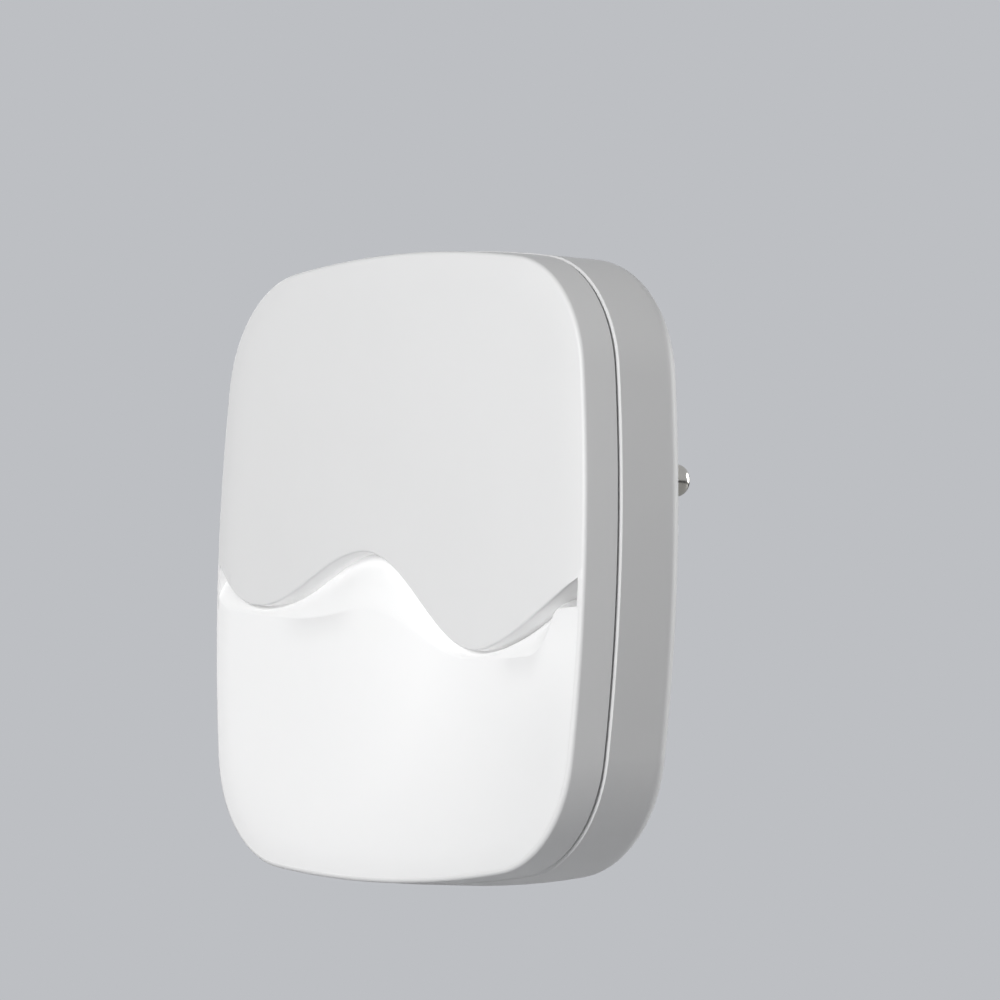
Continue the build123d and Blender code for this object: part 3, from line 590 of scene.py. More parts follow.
# ---------------------------------------------------------------- finishes


def skin(tree, colour, noise, rough, ior, depth, strength):
    """Shader values of a surface: its colour, and its roughness and its relief from one
    noise, with the range of the roughness and with the depth in mm."""
    bump = {"Height": noise, "Distance": depth * MM, "Strength": strength}
    return {
        "Base Color": colour,
        "Roughness": add(tree, "MapRange", noise, 0.0, 1.0, *rough),
        "IOR": ior,
        "Normal": add(tree, "Bump", bump),
    }


def glow_spread(tree, place):
    """Evenness of the glow: strongest left of the middle, weakest at the right side."""
    return add(tree, "MapRange", ball(tree, place, (-14, -12), (80, 70)), 0.35, 0.75, 0.22, 1.0)


def stray_light(tree, place):
    """Painted light: a glow put on the casing where the diffuser's light would reach it,
    on the thin rim beside it and up the skirt that stands on it under the wave."""
    look = bpy.context.scene.night_light_finish
    x, y, z = add(tree, "SeparateXYZ", place).outputs
    depth = add(tree, "Math", y, FACE, operation="SUBTRACT")
    below = add(tree, "Math", follow(tree, x, WAVE_LINE), z, operation="SUBTRACT")
    level = add(tree, "VectorMath", place, (1, 0, 1), operation="MULTIPLY")
    centred = add(tree, "VectorMath", level, (0, 0, MIDDLE), operation="SUBTRACT")
    facing = add(tree, "NewGeometry").outputs["Normal"]
    outward = add(tree, "VectorMath", centred, facing, operation="DOT_PRODUCT").outputs["Value"]
    rim = product(
        tree,
        add(tree, "MapRange", outward, 1 * MM, 20 * MM, 1.0, 0.0),
        add(tree, "MapRange", outward, -25 * MM, -2 * MM, 1.9, 1.0),
        add(tree, "MapRange", below, 0.1 * MM, 0.8 * MM, 0.0, 1.0),
        glow_spread(tree, place),
    )
    foot = add(tree, "MapRange", depth, 1.6 * MM, 3.2 * MM, 0.0, 1.0)
    deep = add(tree, "MapRange", x, 22 * MM, 30 * MM, 2.0, 0.6)
    even = add(tree, "MapRange", x, 25 * MM, 33 * MM, 0.35, 1.2)
    # Painted light: in its two troughs the wave's wall stands close to the plate and is given
    # more glow
    for trough in TROUGHS:
        off = add(tree, "Math", x, trough * MM, operation="SUBTRACT")
        off = add(tree, "Math", off, operation="ABSOLUTE")
        bright = add(tree, "MapRange", off, 2 * MM, 7 * MM, 0.75, 0.35)
        even = add(tree, "Math", even, bright, operation="MAXIMUM")
    skirt = product(
        tree,
        add(tree, "Math", product(tree, foot, foot), deep, even, operation="MULTIPLY_ADD"),
        add(tree, "MapRange", depth, 0.2 * MM, 0.6 * MM, 0.0, 1.0),
        add(tree, "MapRange", below, -0.8 * MM, -0.4 * MM, 0.0, 1.0),
        add(tree, "MapRange", below, 0.5 * MM, 0.8 * MM, 1.0, 0.0),
        add(tree, "MapRange", outward, 12 * MM, 25 * MM, 1.0, 0.0),
    )
    both = add(tree, "Math", rim, skirt, operation="MAXIMUM")
    ahead = add(tree, "MapRange", depth, 4.0 * MM, 4.4 * MM, 1.0, 0.0)
    light = product(tree, both, ahead, look.glow)
    return {"Emission Color": shade_of(look.glow_colour), "Emission Strength": light}


def moulded_white(tree, place, white, glow_edge=False):
    """Injection-moulded ABS from a spark-eroded tool: satin white, with a grain that
    only softens its highlights and a faint cloudiness from the flow of the melt."""
    base = getattr(bpy.context.scene.night_light_finish, white)
    cloud = add(tree, "TexNoise", {"Vector": place, "Scale": per(14.0), "Detail": 2.0})
    shades = {0: cloud, 6: shade_of(base, 0.985), 7: shade_of(base, 1.01)}
    colour = add(tree, "Mix", shades, data_type="RGBA").outputs[2]
    fine = add(tree, "TexNoise", {"Vector": place, "Scale": per(0.22), "Detail": 3.0})
    values = skin(tree, colour, fine, (0.42, 0.54), 1.53, 0.006, 0.35)
    # With glow_edge the casing also gets the painted light of stray_light
    return values | (stray_light(tree, place) if glow_edge else {})


def opal(tree, place):
    """Opal polycarbonate, moulded and lit from behind: the pigment scatters the light so
    well that only a soft hot spot tells where the sources are. Under the lip the glow is
    turned down in two crescents, as painted shade."""
    look = bpy.context.scene.night_light_finish
    x, y, z = add(tree, "SeparateXYZ", place).outputs
    below = add(tree, "Math", follow(tree, x, LIP_LINE), z, operation="SUBTRACT")
    across = add(tree, "MapRange", x, -LIP_SHADE_SPAN * MM, LIP_SHADE_SPAN * MM, 0.0, 1.0)
    window = add(tree, "ValToRGB", across)
    stops = [
        ((at / LIP_SHADE_SPAN + 1) / 2, (share, share, share, 1.0))
        for at, share in LEFT_LIP_SHADE + RIGHT_LIP_SHADE
    ]
    stop_at(window.color_ramp, "EASE", stops)
    # Painted shade: the glow is turned down in two crescents just under the lip
    under = add(tree, "Math", below, 0.0, operation="GREATER_THAN")
    fade = add(tree, "MapRange", below, 0.3 * MM, 3.4 * MM, 1.0, 0.0)
    painted_shade = product(tree, under, fade, window)

    hot = ball(tree, place, (9, -8), (30, 30), "QUADRATIC_SPHERE")
    warm = ball(tree, place, (33, -10), (20, 14), "QUADRATIC_SPHERE")
    spot = product(tree, add(tree, "Math", hot, warm, operation="ADD"), look.hot_spot)
    spread = glow_spread(tree, place)
    lit = add(tree, "Math", spread, look.glow, spot, operation="MULTIPLY_ADD")
    dimmed = (painted_shade, -look.dimples, lit)
    lit = add(tree, "Math", *dimmed, operation="MULTIPLY_ADD", use_clamp=True)
    # The floor under the wave gets less of the light, least in its two ends
    depth = add(tree, "Math", y, FACE, operation="SUBTRACT")
    depth = add(tree, "MapRange", depth, 0.4 * MM, 2.4 * MM, 0.0, 1.0)
    left = add(tree, "MapRange", x, -36 * MM, -29 * MM, 5.0, 1.0)
    right = add(tree, "MapRange", x, 28 * MM, 32 * MM, 0.55, 1.0)
    ends = product(tree, left, right)
    lost = add(tree, "Math", depth, ends, operation="MULTIPLY", use_clamp=True)
    lit = product(tree, lit, add(tree, "Math", 1.0, lost, operation="SUBTRACT"))

    fine = add(tree, "TexNoise", {"Vector": place, "Scale": per(0.25), "Detail": 3.0})
    shades = {0: fine, 6: shade_of(look.diffuser, 0.99), 7: shade_of(look.diffuser)}
    white = add(tree, "Mix", shades, data_type="RGBA").outputs[2]
    # Painted shade: in the deep pocket at the wave's right end the opal's colour is greyed where
    # its floor lies deep
    pocket = product(tree, depth, add(tree, "MapRange", x, 31.5 * MM, 33 * MM, 0.0, 1.0))
    shades = {0: pocket, 6: white, 7: shade_of(look.diffuser, 0.74)}
    white = add(tree, "Mix", shades, data_type="RGBA").outputs[2]
    values = skin(tree, white, fine, (0.36, 0.46), 1.585, 0.004, 0.3)
    return values | {"Emission Color": shade_of(look.glow_colour), "Emission Strength": lit}


def plastic(tree, place, low, high, grain, detail, *settings):
    """A moulded plastic whose colour and skin follow one noise, with its grain in mm."""
    noise = add(tree, "TexNoise", {"Vector": place, "Scale": per(grain), "Detail": detail})
    colour = add(tree, "Mix", {0: noise, 6: low, 7: high}, data_type="RGBA").outputs[2]
    return skin(tree, colour, noise, *settings)


def clear_epoxy(tree, place):
    """Clear cast epoxy: smooth and glassy, with the pale chip just visible inside."""
    haze = add(tree, "TexNoise", {"Vector": place, "Scale": per(1.2), "Detail": 3.0})
    shades = {0: haze, 6: paint("D9DEE4"), 7: paint("EEF1F4")}
    return {
        "Base Color": add(tree, "Mix", shades, data_type="RGBA").outputs[2],
        "Roughness": add(tree, "MapRange", haze, 0.0, 1.0, 0.03, 0.09),
        "IOR": 1.55,
        "Transmission Weight": 0.7,
    }


def fibre_filled(tree, place):
    """Glass-filled nylon: dark, with pale fibre flecks at its skin."""
    drawn = add(tree, "Mapping", {"Vector": place, "Scale": (0.25, 1.0, 1.0)})
    fibres = add(tree, "TexNoise", {"Vector": drawn, "Scale": per(0.15), "Detail": 4.0})
    fleck = add(tree, "MapRange", fibres, 0.58, 0.72, 0.0, 1.0)
    shades = {0: fleck, 6: paint("39393B"), 7: paint("5A5A5C")}
    colour = add(tree, "Mix", shades, data_type="RGBA").outputs[2]
    return skin(tree, colour, fibres, (0.6, 0.6), 1.53, 0.01, 0.5)


def masked_board(tree, place, mask, trace):
    """Glass-epoxy board under a sprayed solder mask: the glass weave shows faintly, and
    copper under the mask lies a little lighter and proud of the rest."""
    # Glass cloth with 0.5 mm from thread to thread
    thread = {"Vector": place, "Scale": per(0.5) / WEAVE_TURN}
    weave = [add(tree, "TexWave", thread, bands_direction=way).outputs["Fac"] for way in "XZ"]
    # Copper runs, about 2.5 mm wide
    runs = {"Vector": place, "Scale": per(9.0), "Randomness": 0.55}
    cells = add(tree, "TexVoronoi", runs, feature="DISTANCE_TO_EDGE").outputs["Distance"]
    copper = add(tree, "MapRange", cells, 0.1, 0.13, 1.0, 0.0)
    shades = {0: copper, 6: paint(mask), 7: paint(trace)}
    colour = add(tree, "Mix", shades, data_type="RGBA").outputs[2]
    height = add(tree, "Math", product(tree, *weave), 0.15, copper, operation="MULTIPLY_ADD")
    return skin(tree, colour, height, (0.33, 0.33), 1.5, 0.035, 0.8)


def shrunk_sleeve(tree, place):
    """PVC sleeve shrunk over an aluminium can: glossy and dark, with its pale minus stripe."""
    low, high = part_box("can_capacitor")
    height = add(tree, "SeparateXYZ", place).outputs["Z"]
    off = add(tree, "Math", height, (low.z + high.z) / 2, operation="SUBTRACT")
    off = add(tree, "Math", off, operation="ABSOLUTE")
    stripe = add(tree, "MapRange", off, 0.95 * MM, 1.05 * MM, 1.0, 0.0)
    shades = {0: stripe, 6: paint("20222B"), 7: paint("8E93A0")}
    colour = add(tree, "Mix", shades, data_type="RGBA").outputs[2]
    ripple = add(tree, "TexNoise", {"Vector": place, "Scale": per(2.2), "Detail": 2.0})
    return skin(tree, colour, ripple, (0.2, 0.32), 1.53, 0.03, 0.3)


def banded_lacquer(tree, place):
    """Ceramic rod dipped in lacquer, with painted value bands round it and bare leads."""
    low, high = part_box("fuse_resistor")
    along = add(tree, "SeparateXYZ", place).outputs["X"]
    bands = add(tree, "ValToRGB", add(tree, "MapRange", along, low.x, high.x, 0.0, 1.0))
    # The leads stand out 2.3 mm at each end
    lead, body, edge = paint("C3C4C4"), paint("7FA394"), 2.3 * MM / (high.x - low.x)
    stops = [(0.0, lead), (edge, body)]
    for at, band in ((0.33, "6B3A1E"), (0.43, "1B1B1B"), (0.53, "B7281F"), (0.68, "C39A35")):
        stops += [(at, paint(band)), (at + 0.05, body)]
    stop_at(bands.color_ramp, "CONSTANT", [*stops, (1 - edge, lead)])
    coat = add(tree, "TexNoise", {"Vector": place, "Scale": per(0.8), "Detail": 3.0})
    return skin(tree, bands, coat, (0.3, 0.42), 1.5, 0.02, 0.3)


def metal(tree, place, code, rough, drawn):
    """Metal worked along one way: fine lines in the working direction break up its shine."""
    streaks = add(tree, "Mapping", {"Vector": place, "Scale": drawn})
    lines = add(tree, "TexNoise", {"Vector": streaks, "Scale": per(0.3), "Detail": 4.0})
    shades = {0: lines, 6: paint(code, 0.92), 7: paint(code)}
    colour = add(tree, "Mix", shades, data_type="RGBA").outputs[2]
    values = skin(tree, colour, lines, (rough * 0.8, rough * 1.25), 1.5, 0.004, 0.4)
    return values | {"Metallic": 1.0}


def light_package(tree, place):
    """White moulded package with a round pocket of yellow phosphor in clear resin."""
    first, last = (sum(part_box(node), Vector()) / 2 for node in ("led_1", "led_6"))
    pitch = (abs(last.x - first.x) / 2, 0.0, abs(last.z - first.z))
    # The same pocket in each cell of the grid on which the six sources stand
    grid = {"Vector": place, "Location": first, "Scale": (pitch[0], 1.0, pitch[2])}
    cell = add(tree, "Mapping", grid, vector_type="TEXTURE")
    cell = add(tree, "VectorMath", cell, (0.5, 0.0, 0.5), operation="ADD")
    cell = add(tree, "VectorMath", cell, operation="FRACTION")
    cell = add(tree, "VectorMath", cell, (0.5, 0.0, 0.5), operation="SUBTRACT")
    cell = add(tree, "VectorMath", cell, pitch, operation="MULTIPLY")
    away = add(tree, "VectorMath", cell, operation="LENGTH").outputs["Value"]
    pocket = add(tree, "MapRange", away, 1.15 * MM, 1.22 * MM, 1.0, 0.0)
    shades = {0: pocket, 6: paint("F4F3EC"), 7: paint("F0D860")}
    return {
        "Base Color": add(tree, "Mix", shades, data_type="RGBA").outputs[2],
        "Roughness": add(tree, "MapRange", pocket, 0.0, 1.0, 0.4, 0.12),
        "IOR": 1.5,
        "Emission Color": paint("FFF3D0"),
        "Emission Strength": add(tree, "MapRange", pocket, 0.0, 1.0, 0.0, 2.0),
    }


# Plain plastics: two shades, grain in mm and its detail, roughness, IOR, depth of the relief
# in mm and its strength

# Highly filled white polycarbonate: dead matt, so that it throws light evenly
REFLECTOR = (paint("F6F6F4", 0.97), paint("F6F6F4"), 0.3, 3.0, (0.85, 0.85), 1.58, 0.01, 0.4)
# Soft insulation moulded over the pins: smoother and a shade creamier than the casing
SLEEVE = (paint("EEEDEA", 0.97), paint("EEEDEA"), 2.5, 2.0, (0.3, 0.4), 1.5, 0.008, 0.3)
# Transfer-moulded black epoxy: matt, with the fine pits of its filler
PACKAGE = (paint("1A1A1B"), paint("2A2A2B"), 0.12, 4.0, (0.5, 0.68), 1.55, 0.012, 0.5)
# Film capacitor in a moulded yellow box, potted with epoxy: glossy and even
FILM_BOX = (paint("DDB23A"), paint("E8C14C"), 3.0, 2.0, (0.24, 0.34), 1.5, 0.02, 0.3)

# The record's slots: name of the material, its recipe and the recipe's settings
FINISHES = {
    # The casing's two halves are of one batch, and the knob's white is slightly darker; the front
    # half also carries painted light from the diffuser
    "shell_white": ("moulded_abs_front", moulded_white, "shell", True),
    "shell_white_rear": ("moulded_abs_rear", moulded_white, "shell"),
    "knob_white": ("moulded_abs_knob", moulded_white, "knob"),
    "opal_diffuser": ("opal_polycarbonate", opal),
    "reflector_white": ("filled_white_polycarbonate", plastic, *REFLECTOR),
    "sleeve_white": ("moulded_pin_insulation", plastic, *SLEEVE),
    "black_plastic": ("moulded_black_epoxy", plastic, *PACKAGE),
    "capacitor_box": ("yellow_moulded_box", plastic, *FILM_BOX),
    "sensor_epoxy": ("cast_clear_epoxy", clear_epoxy),
    "retainer_plastic": ("glass_filled_nylon", fibre_filled),
    # Masked white, so that it wastes no light
    "led_board_white": ("white_solder_mask", masked_board, "E9EAE6", "F7F6EF"),
    "board_green": ("green_solder_mask", masked_board, "1F6B3A", "3C8C4F"),
    "capacitor_sleeve": ("shrunk_pvc_sleeve", shrunk_sleeve),
    "resistor_body": ("banded_lacquer", banded_lacquer),
    # Copper wire drawn and hot-tinned: bright grey with a soft sheen
    "tinned_wire": ("tinned_copper_wire", metal, "C9CACB", 0.3, (1.0, 0.1, 0.1)),
    # Cold-rolled steel, nickel plated and folded into the switch's can
    "switch_steel": ("nickel_plated_steel", metal, "C4C4C0", 0.28, (1.0, 1.0, 0.08)),
    # Cold-headed steel, zinc plated: a slightly bluish bright grey
    "screw_steel": ("zinc_plated_steel", metal, "C5C8CC", 0.32, (1.0, 0.2, 1.0)),
    # Turned brass under bright nickel: fine turning rings run round the pins
    "nickel_brass": ("nickel_plated_brass", metal, "D3D0C8", 0.18, (0.15, 1.6, 0.15)),
    "led_package": ("phosphor_in_white_package", light_package),
}
MADE = {}


def finish(slot):
    """The material of one of the record's slots, made once."""
    if slot not in MADE:
        name, recipe, *settings = FINISHES[slot]
        MADE[slot], tree, shader, place = start(name)
        feed(tree, shader, recipe(tree, place, *settings))
    return MADE[slot]


def repaint(*nodes):
    """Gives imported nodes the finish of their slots."""
    slots = {part["node"]: part["material_slot"] for part in frame["record"]["subparts"]}
    for node in nodes:
        mesh = frame["nodes"][node].data
        mesh.materials.clear()
        mesh.materials.append(finish(slots[node]))


# ---------------------------------------------------------------- operators


class NIGHTLIGHT_OT_front_shell(bpy.types.Operator):
    """Models the front half of the casing: rolled face, wave edge, skirt and rim"""

    bl_idname = "night_light.front_shell"
    bl_label = "Front shell"

    def execute(self, context):
        form = context.scene.night_light_form
        seam = form.front_depth
        lap = seam - form.lap_depth
        stations = [
            (form.side_wall, form.face_wall),
            (form.side_wall, lap),
            (form.lap_wall, lap),
            (form.lap_wall, seam),
            (form.seam_step + form.seam_edge, seam),
            (form.seam_step, seam - form.seam_edge),
            *face_profile(form),
        ]
        shell = loft(form, stations, "front_panel")
        combine(shell, self.skirt(form), "UNION")
        combine(shell, self.opening(form), "DIFFERENCE")
        combine(shell, self.plate_opening(form), "DIFFERENCE")
        tidy(shell)
        dress(shell, "casing", "shell_white", "front_shell")
        return {"FINISHED"}

    def skirt(self, form):
        """Wall that goes back from the wave edge, inside the panel's opening."""

        def shape(x, up):
            return (x, foot_depth(form, x), height_at(WAVE_LINE, x) + (2.8 * up - 1) * form.skirt)

        wall = slab("skirt", COLUMNS, 1, shape, (0, form.face_wall / 2 - form.step, 0))
        trim(wall, form, form.side_wall - OVERLAP, -MM, form.front_depth)
        return wall

    def opening(self, form):
        """All that lies below the wave edge, which is rounded at the front."""
        turn = form.wave_round
        edge = arc((turn, turn / 2), -turn, 0, 90, 6)
        rows = [(AHEAD - MM, turn / 2), *edge, (form.front_depth, -turn / 2)]
        last = len(rows) - 1

        def shape(x, up):
            depth, lift = rows[round(up * last)]
            return (x, depth, height_at(WAVE_LINE, x) + lift)

        space = slab("opening", COLUMNS, last, shape, (0, 0, -2 * HALF_HEIGHT))
        trim(space, form, form.side_wall + 0.01 * MM, AHEAD, form.front_depth - 0.5 * MM)
        return space

    def plate_opening(self, form):
        """Room in the rim for the diffuser's plate, below the lip."""

        def shape(x, up):
            return (x, (1.5 * up - 0.5) * form.diffuser_wall, height_at(LIP_LINE, x))

        space = slab("plate_opening", COLUMNS, 1, shape, (0, 0, -2 * HALF_HEIGHT))
        trim(space, form, form.rim, AHEAD, form.diffuser_wall)
        return space


class NIGHTLIGHT_OT_diffuser(bpy.types.Operator):
    """Models the diffuser: level plate, floor that dips under the wave, hidden tongue"""

    bl_idname = "night_light.diffuser"
    bl_label = "Diffuser"

    def execute(self, context):
        form = context.scene.night_light_form
        wall, section = form.diffuser_wall, face_profile(form)
        inset, tongue = form.rim + form.diffuser_gap, form.side_wall + OVERLAP
        stations = [
            (tongue, form.step + wall + form.tongue),
            (tongue, wall),
            (inset, wall),
            (inset, height_at(section, inset)),
            *[point for point in section if point.x > inset],
        ]
        diffuser = loft(form, stations, "opal_front")

        def floor(x, up, lift=0.0):
            """Floor from the lip, down the ramp and on behind the panel."""
            low, high = height_at(LIP_LINE, x), height_at(WAVE_LINE, x)
            deep = form.step if lift else foot_depth(form, x)
            if up > RAMP_SHARE:
                return (x, deep + lift, high + (up - RAMP_SHARE) / (1 - RAMP_SHARE) * HALF_HEIGHT)
            along, crisp = up / RAMP_SHARE, crispness(form, x)
            fall = min(1.0, along * (1 + PLUNGE_RATE * smooth(x, *PLUNGE)))
            fall = crisp * fall + (1 - crisp) * fall**2
            return (x, deep * fall + lift, low + (high - low) * along)

        def underside(x, up):
            """The same floor, one wall further back, with the plate's back below it."""
            rest = 1 - RAMP_SHARE
            if up >= rest:
                return floor(x, (up - rest) / RAMP_SHARE, wall)
            base = -HALF_HEIGHT - MM
            return (x, wall, base + up / rest * (height_at(LIP_LINE, x) - base))

        def top(x, up):
            """Plane through the diffuser's top edge."""
            return (x, (up - 0.5) * 40 * MM, form.diffuser_top)

        spaces = (
            slab("front_space", COLUMNS, FLOOR_ROWS, floor, (0, -20 * MM, 0)),
            slab("back_space", COLUMNS, FLOOR_ROWS, underside, (0, 20 * MM, 0)),
            slab("top_space", 1, 1, top, (0, 0, 2 * HALF_HEIGHT)),
        )
        for space in spaces:
            combine(diffuser, space, "DIFFERENCE")
        tidy(diffuser, 35)
        dress(diffuser, "casing", "opal_diffuser", "diffuser")
        return {"FINISHED"}


class NIGHTLIGHT_OT_casing(bpy.types.Operator):
    """Finishes the rear shell, the reflector tray and the pin retainer"""

    bl_idname = "night_light.casing"
    bl_label = "Rear shell"

    def execute(self, context):
        repaint("rear_shell", "pin_retainer", "reflector_tray")
        return {"FINISHED"}


class NIGHTLIGHT_OT_plug(bpy.types.Operator):
    """Turns the plug's pins and their sleeves"""

    bl_idname = "night_light.plug"
    bl_label = "Plug"

    # Radii in mm of a pin's tail, of its core and of the bore that the core passes through
    TAIL, CORE, BORE = 1.0, 1.25, 1.27
    # Reach of the flange past the sleeve, thickness and chamfer of the flange, in mm
    REACH, THICK, CHAMFER = 1.25, 0.8, 0.1

    def execute(self, context):
        form = context.scene.night_light_form
        for side, way in (("left", -0.5), ("right", 0.5)):
            centre = (way * form.pin_spacing, 0, 0)
            low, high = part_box(f"pin_sleeve_{side}")
            root, end, outer = low.y / MM, high.y / MM, (high.x - low.x) / MM / 2
            pin = turned(f"pin_{side}", self.pin(side, root, end, outer, form), centre)
            tidy(pin, 35)
            dress(pin, "casing", "nickel_brass", f"plug_pin_{side}")
            sleeve = turned(f"sleeve_{side}", self.sleeve(root, end, outer), centre)
            tidy(sleeve, 35)
            dress(sleeve, "casing", "sleeve_white", f"pin_sleeve_{side}")
        return {"FINISHED"}

    def pin(self, side, root, end, outer, form):
        """Tail, flange, core inside the sleeve, then the bare part with its domed tip."""
        low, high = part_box(f"plug_pin_{side}")
        tail, tip = low.y / MM, high.y / MM
        radius, dome, ease = form.pin_radius / MM, form.pin_dome / MM, 0.15
        flange, front = outer + self.REACH, root - self.THICK
        return [
            (0, tail),
            (self.TAIL - 0.2, tail),
            (self.TAIL, tail + 0.2),
            (self.TAIL, front),
            (flange - self.CHAMFER, front),
            (flange, front + self.CHAMFER),
            (flange, root - self.CHAMFER),
            (flange - self.CHAMFER, root),
            (self.CORE, root),
            (self.CORE, end),
            (radius - ease, end),
            *arc((radius - ease, end + ease), ease, -90, 0, 4)[1:],
            *arc((radius - dome, tip - dome), dome, 0, 90, 10),
            (0, tip),
        ]

    def sleeve(self, root, end, outer):
        """Insulating sleeve, eased at its open end."""
        bore, ease, lead_in = self.BORE, 0.2, 0.05
        return [
            (bore, end - lead_in),
            (bore, root),
            (outer, root),
            (outer, end - ease),
            *arc((outer - ease, end - ease), ease, 0, 90, 5)[1:],
            (bore + lead_in, end),
            (bore, end - lead_in),
        ]


class NIGHTLIGHT_OT_switch(bpy.types.Operator):
    """Models the slide switch's ribbed knob and finishes the rest of the switch"""

    bl_idname = "night_light.switch"
    bl_label = "Slide switch"

    def execute(self, context):
        form = context.scene.night_light_form
        repaint("switch_body", "switch_lever")
        centre = (KNOB_LOW + KNOB_HIGH) / 2
        plate_face = KNOB_HIGH.x - form.knob_plate
        bm = bmesh.new()
        cuboid(bm, Vector((plate_face, KNOB_LOW.y, KNOB_LOW.z)), KNOB_HIGH, form.knob_edge)
        knob = as_object(bm, "slide_knob", (0, 0, 0))

        def grip(x, up):
            """Ribbed end of the knob: rounded ribs, with grooves between them."""
            across = x / (HALF_WIDTH + MM)
            y, z = across * form.knob_width / 2, (up - 0.5) * form.knob_grip
            ribbed = abs(z) < 1.5 * form.knob_pitch
            wave = math.cos(2 * math.pi * z / form.knob_pitch) if ribbed else -1
            groove = form.knob_groove * (0.5 + 0.5 * wave) ** 2
            round_off = form.knob_edge * abs(across) ** 8
            return (KNOB_LOW.x + groove + round_off, centre.y + y, centre.z + z)

        reach = (plate_face - KNOB_LOW.x + form.knob_plate / 2, 0, 0)
        combine(knob, slab("grip", *GRIP_STEPS, grip, reach, (0, 0, 0)), "UNION")
        low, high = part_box("switch_lever")
        play = Vector((0, 0.1 * MM, 0.1 * MM))
        lever = Vector((0, high.y - low.y, high.z - low.z)) + play
        corner = Vector((plate_face, centre.y, centre.z)) - lever / 2
        bm = bmesh.new()
        cuboid(bm, corner, corner + lever + Vector((2 * form.knob_plate, 0, 0)))
        combine(knob, as_object(bm, "socket", (0, 0, 0)), "DIFFERENCE")
        tidy(knob, 32)
        dress(knob, "slider", "knob_white", "switch_knob")
        return {"FINISHED"}


class NIGHTLIGHT_OT_screws(bpy.types.Operator):
    """Turns the casing's screws, with their cross recesses, and finishes the board's"""

    bl_idname = "night_light.screws"
    bl_label = "Screws"

    # Core and crest radius, pitch and number of the thread's turns, in mm
    CORE, CREST, PITCH, TURNS = 1.02, 1.25, 0.7, 9
    # Height of the head, height of its straight part and radius of its rounded edge, in mm
    HEAD, RIM, DOME = 1.5, 0.6, 0.9
    # Depth of the recess and of its straight part, in mm, and its turn in radians
    RECESS, STRAIGHT, TURN = 0.85, 0.5, 0.4

    def execute(self, context):
        repaint("board_screws")
        low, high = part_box("case_screws")
        radius = (high.z - low.z) / 2
        first, second = (
            self.screw((x, 0, (low.z + high.z) / 2), low.y / MM, high.y / MM, radius / MM)
            for x in (low.x + radius, high.x - radius)
        )
        combine(first, second, "UNION")
        tidy(first, 30)
        dress(first, "casing", "screw_steel", "case_screws")
        return {"FINISHED"}

    def screw(self, place, tip, head, radius):
        """A screw with a pan head and a cross recess."""
        seat, thread = head - self.HEAD, tip + self.PITCH
        profile = [(0, tip), (0.3, tip), (0.75, tip + 0.6)]
        for turn in range(self.TURNS):
            foot = thread + turn * self.PITCH
            profile += [(self.CORE, foot), (self.CREST, foot + 0.3), (self.CORE, foot + 0.6)]
        profile += [(1.2, seat), (radius, seat), (radius, seat + self.RIM)]
        profile += arc((radius - self.DOME, seat + self.RIM), self.DOME, 0, 80, 8)[1:]
        screw = turned("case_screw", [*profile, (0, head)], place)
        for turn in (self.TURN, self.TURN + math.pi / 2):
            combine(screw, self.arm(place, head, turn), "DIFFERENCE")
        return screw

    def arm(self, place, head, turn):
        """One arm of the cross recess, tapered towards its bottom."""
        bm = bmesh.new()
        half, bottom = Vector((1.25, 0, 0.24)) * MM, Vector((0, head - self.RECESS, 0)) * MM
        cuboid(bm, bottom - half, bottom + half + Vector((0, 2 * MM, 0)))
        low = [v for v in bm.verts if v.co.y < (head - self.STRAIGHT) * MM]
        bmesh.ops.scale(bm, verts=low, vec=(0.4, 1, 0.8))
        turned_by = Matrix.Rotation(turn, 3, "Y")
        bmesh.ops.rotate(bm, verts=bm.verts, cent=(0, 0, 0), matrix=turned_by)
        return as_object(bm, "recess", place)


class NIGHTLIGHT_OT_electronics(bpy.types.Operator):
    """Finishes the boards, the light sources, the sensor and the driver's parts"""

    bl_idname = "night_light.electronics"
    bl_label = "Electronics"

    def execute(self, context):
        repaint("led_board", "driver_board", "light_sensor", "sensor_shroud", "link_wires")
        repaint(*[f"led_{number}" for number in range(1, 7)])
        repaint("film_capacitor", "can_capacitor", "bridge_rectifier", "driver_chip")
        repaint("fuse_resistor", "chip_resistors")
        return {"FINISHED"}


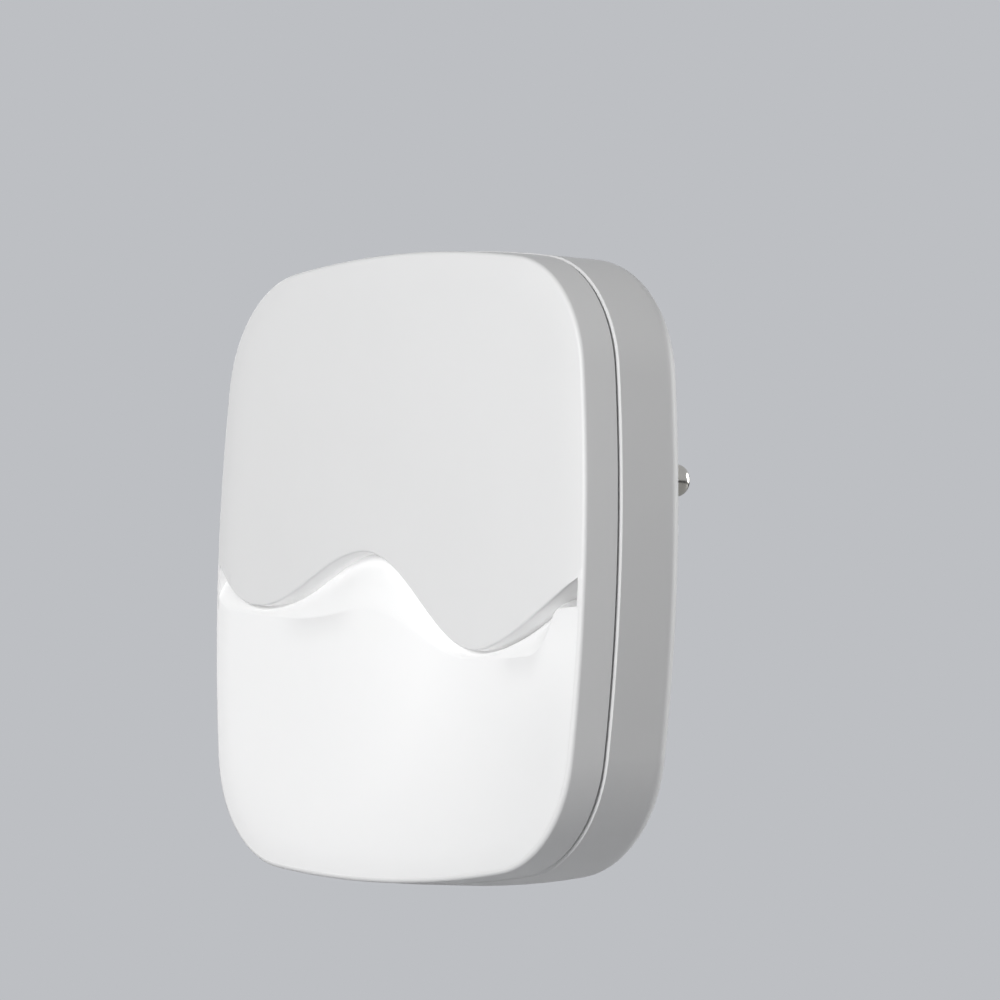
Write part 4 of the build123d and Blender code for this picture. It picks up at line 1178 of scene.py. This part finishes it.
class NIGHTLIGHT_OT_stage(bpy.types.Operator):
    """Sets up the floor, the backdrop, the lamps and the camera"""

    bl_idname = "night_light.stage"
    bl_label = "Studio"

    def execute(self, context):
        scene, stage = context.scene, context.scene.night_light_stage
        scene.view_settings.view_transform = "Standard"
        self.backdrop(scene, stage)
        self.floor(stage)
        for name, watts, direction, distance, size in LAMPS:
            self.lamp(name, getattr(stage, watts), Vector(direction), distance, size)
        camera = bpy.data.objects.new("camera", bpy.data.cameras.new("camera"))
        camera.data.lens = stage.lens
        camera.data.sensor_width = 36.0
        camera.data.clip_start, camera.data.clip_end = 0.05, 100.0
        turn = Euler(stage.camera_turn).to_matrix().to_4x4()
        camera.matrix_world = Matrix.Translation(stage.camera_place) @ turn
        scene.collection.objects.link(camera)
        scene.camera = camera
        return {"FINISHED"}

    def backdrop(self, scene, stage):
        """Plain pale surroundings, which light the object only a little."""
        scene.world = bpy.data.worlds.new("studio")
        scene.world.use_nodes = True
        tree = scene.world.node_tree
        tree.nodes.clear()
        light = add(tree, "Background", paint("FFFFFF"), stage.ambient)
        seen = add(tree, "Background", shade_of(stage.backdrop), 1.0)
        # The backdrop shows to the camera, straight or in gloss and glass
        path = add(tree, "LightPath").outputs
        sight = path["Is Camera Ray"]
        for kind in ("Is Glossy Ray", "Is Transmission Ray"):
            sight = add(tree, "Math", sight, path[kind], operation="MAXIMUM")
        add(tree, "OutputWorld", {"Surface": add(tree, "MixShader", sight, light, seen)})

    def floor(self, stage):
        """A wide matt floor that fades into the backdrop and still takes the shadow."""
        bm = bmesh.new()
        bmesh.ops.create_circle(bm, cap_ends=True, segments=96, radius=40.0)
        floor = as_object(bm, "floor", (0, 0, -stage.floor_drop))
        material, tree, shader, place = start("matt_studio_floor")
        dust = add(tree, "TexNoise", {"Vector": place, "Scale": per(4.0), "Detail": 2.0})
        shades = {0: dust, 6: shade_of(stage.floor, 0.99), 7: shade_of(stage.floor)}
        tone = add(tree, "Mix", shades, data_type="RGBA").outputs[2]
        camera_ray = add(tree, "LightPath").outputs["Is Camera Ray"]
        lift = [max(0.0, b - f * FLOOR_LIGHT) for b, f in zip(stage.backdrop, stage.floor)]
        feed(tree, shader, {"Base Color": tone, "Roughness": 0.9, "Specular IOR Level": 0.1})
        feed(tree, shader, {"Emission Color": (*lift, 1.0), "Emission Strength": camera_ray})
        centre = (0.0, 0.0, MIDDLE - stage.floor_drop)
        away = add(tree, "VectorMath", place, centre, operation="DISTANCE").outputs["Value"]
        far = product(tree, add(tree, "MapRange", away, 0.4, 2.5, 0.0, 1.0), camera_ray)
        seen = add(tree, "Emission", shade_of(stage.backdrop))
        output = next(node for node in tree.nodes if node.type == "OUTPUT_MATERIAL")
        feed(tree, output, {"Surface": add(tree, "MixShader", far, shader, seen)})
        floor.data.materials.append(material)

    def lamp(self, name, watts, direction, distance, size):
        """A soft square lamp that faces the light."""
        data = bpy.data.lights.new(name, "AREA")
        data.shape = "SQUARE"
        data.size = size
        data.energy = watts
        lamp = bpy.data.objects.new(name, data)
        away = direction.normalized()
        place = Matrix.Translation(Vector((0, 0.5 * FACE, MIDDLE)) + away * distance)
        lamp.matrix_world = place @ away.to_track_quat("Z", "Y").to_matrix().to_4x4()
        lamp.visible_camera = False
        bpy.context.scene.collection.objects.link(lamp)


class NIGHTLIGHT_PT_panel(bpy.types.Panel):
    """Sizes, finishes and steps of the night light"""

    bl_idname = "NIGHTLIGHT_PT_panel"
    bl_label = "Night Light"
    bl_space_type = "VIEW_3D"
    bl_region_type = "UI"
    bl_category = "Night Light"

    def draw(self, context):
        scene = context.scene
        for group in (scene.night_light_form, scene.night_light_finish, scene.night_light_stage):
            box = self.layout.box()
            for name in group.__annotations__:
                box.prop(group, name)
        for step in STEPS:
            self.layout.operator(step.bl_idname)


STEPS = (
    NIGHTLIGHT_OT_front_shell,
    NIGHTLIGHT_OT_diffuser,
    NIGHTLIGHT_OT_casing,
    NIGHTLIGHT_OT_plug,
    NIGHTLIGHT_OT_switch,
    NIGHTLIGHT_OT_screws,
    NIGHTLIGHT_OT_electronics,
    NIGHTLIGHT_OT_stage,
)
GROUPS = {
    "night_light_form": NightLightForm,
    "night_light_finish": NightLightFinish,
    "night_light_stage": NightLightStage,
}


def register():
    for name, group in GROUPS.items():
        bpy.utils.register_class(group)
        setattr(bpy.types.Scene, name, bpy.props.PointerProperty(type=group))
    for step in (*STEPS, NIGHTLIGHT_PT_panel):
        bpy.utils.register_class(step)


def unregister():
    for step in (NIGHTLIGHT_PT_panel, *reversed(STEPS)):
        bpy.utils.unregister_class(step)
    for name, group in GROUPS.items():
        delattr(bpy.types.Scene, name)
        bpy.utils.unregister_class(group)


def main():
    """Registers the add-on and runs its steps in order."""
    register()
    for step in STEPS:
        group, name = step.bl_idname.split(".")
        getattr(getattr(bpy.ops, group), name)()
    bpy.context.view_layer.update()


if __name__ == "__main__":
    main()
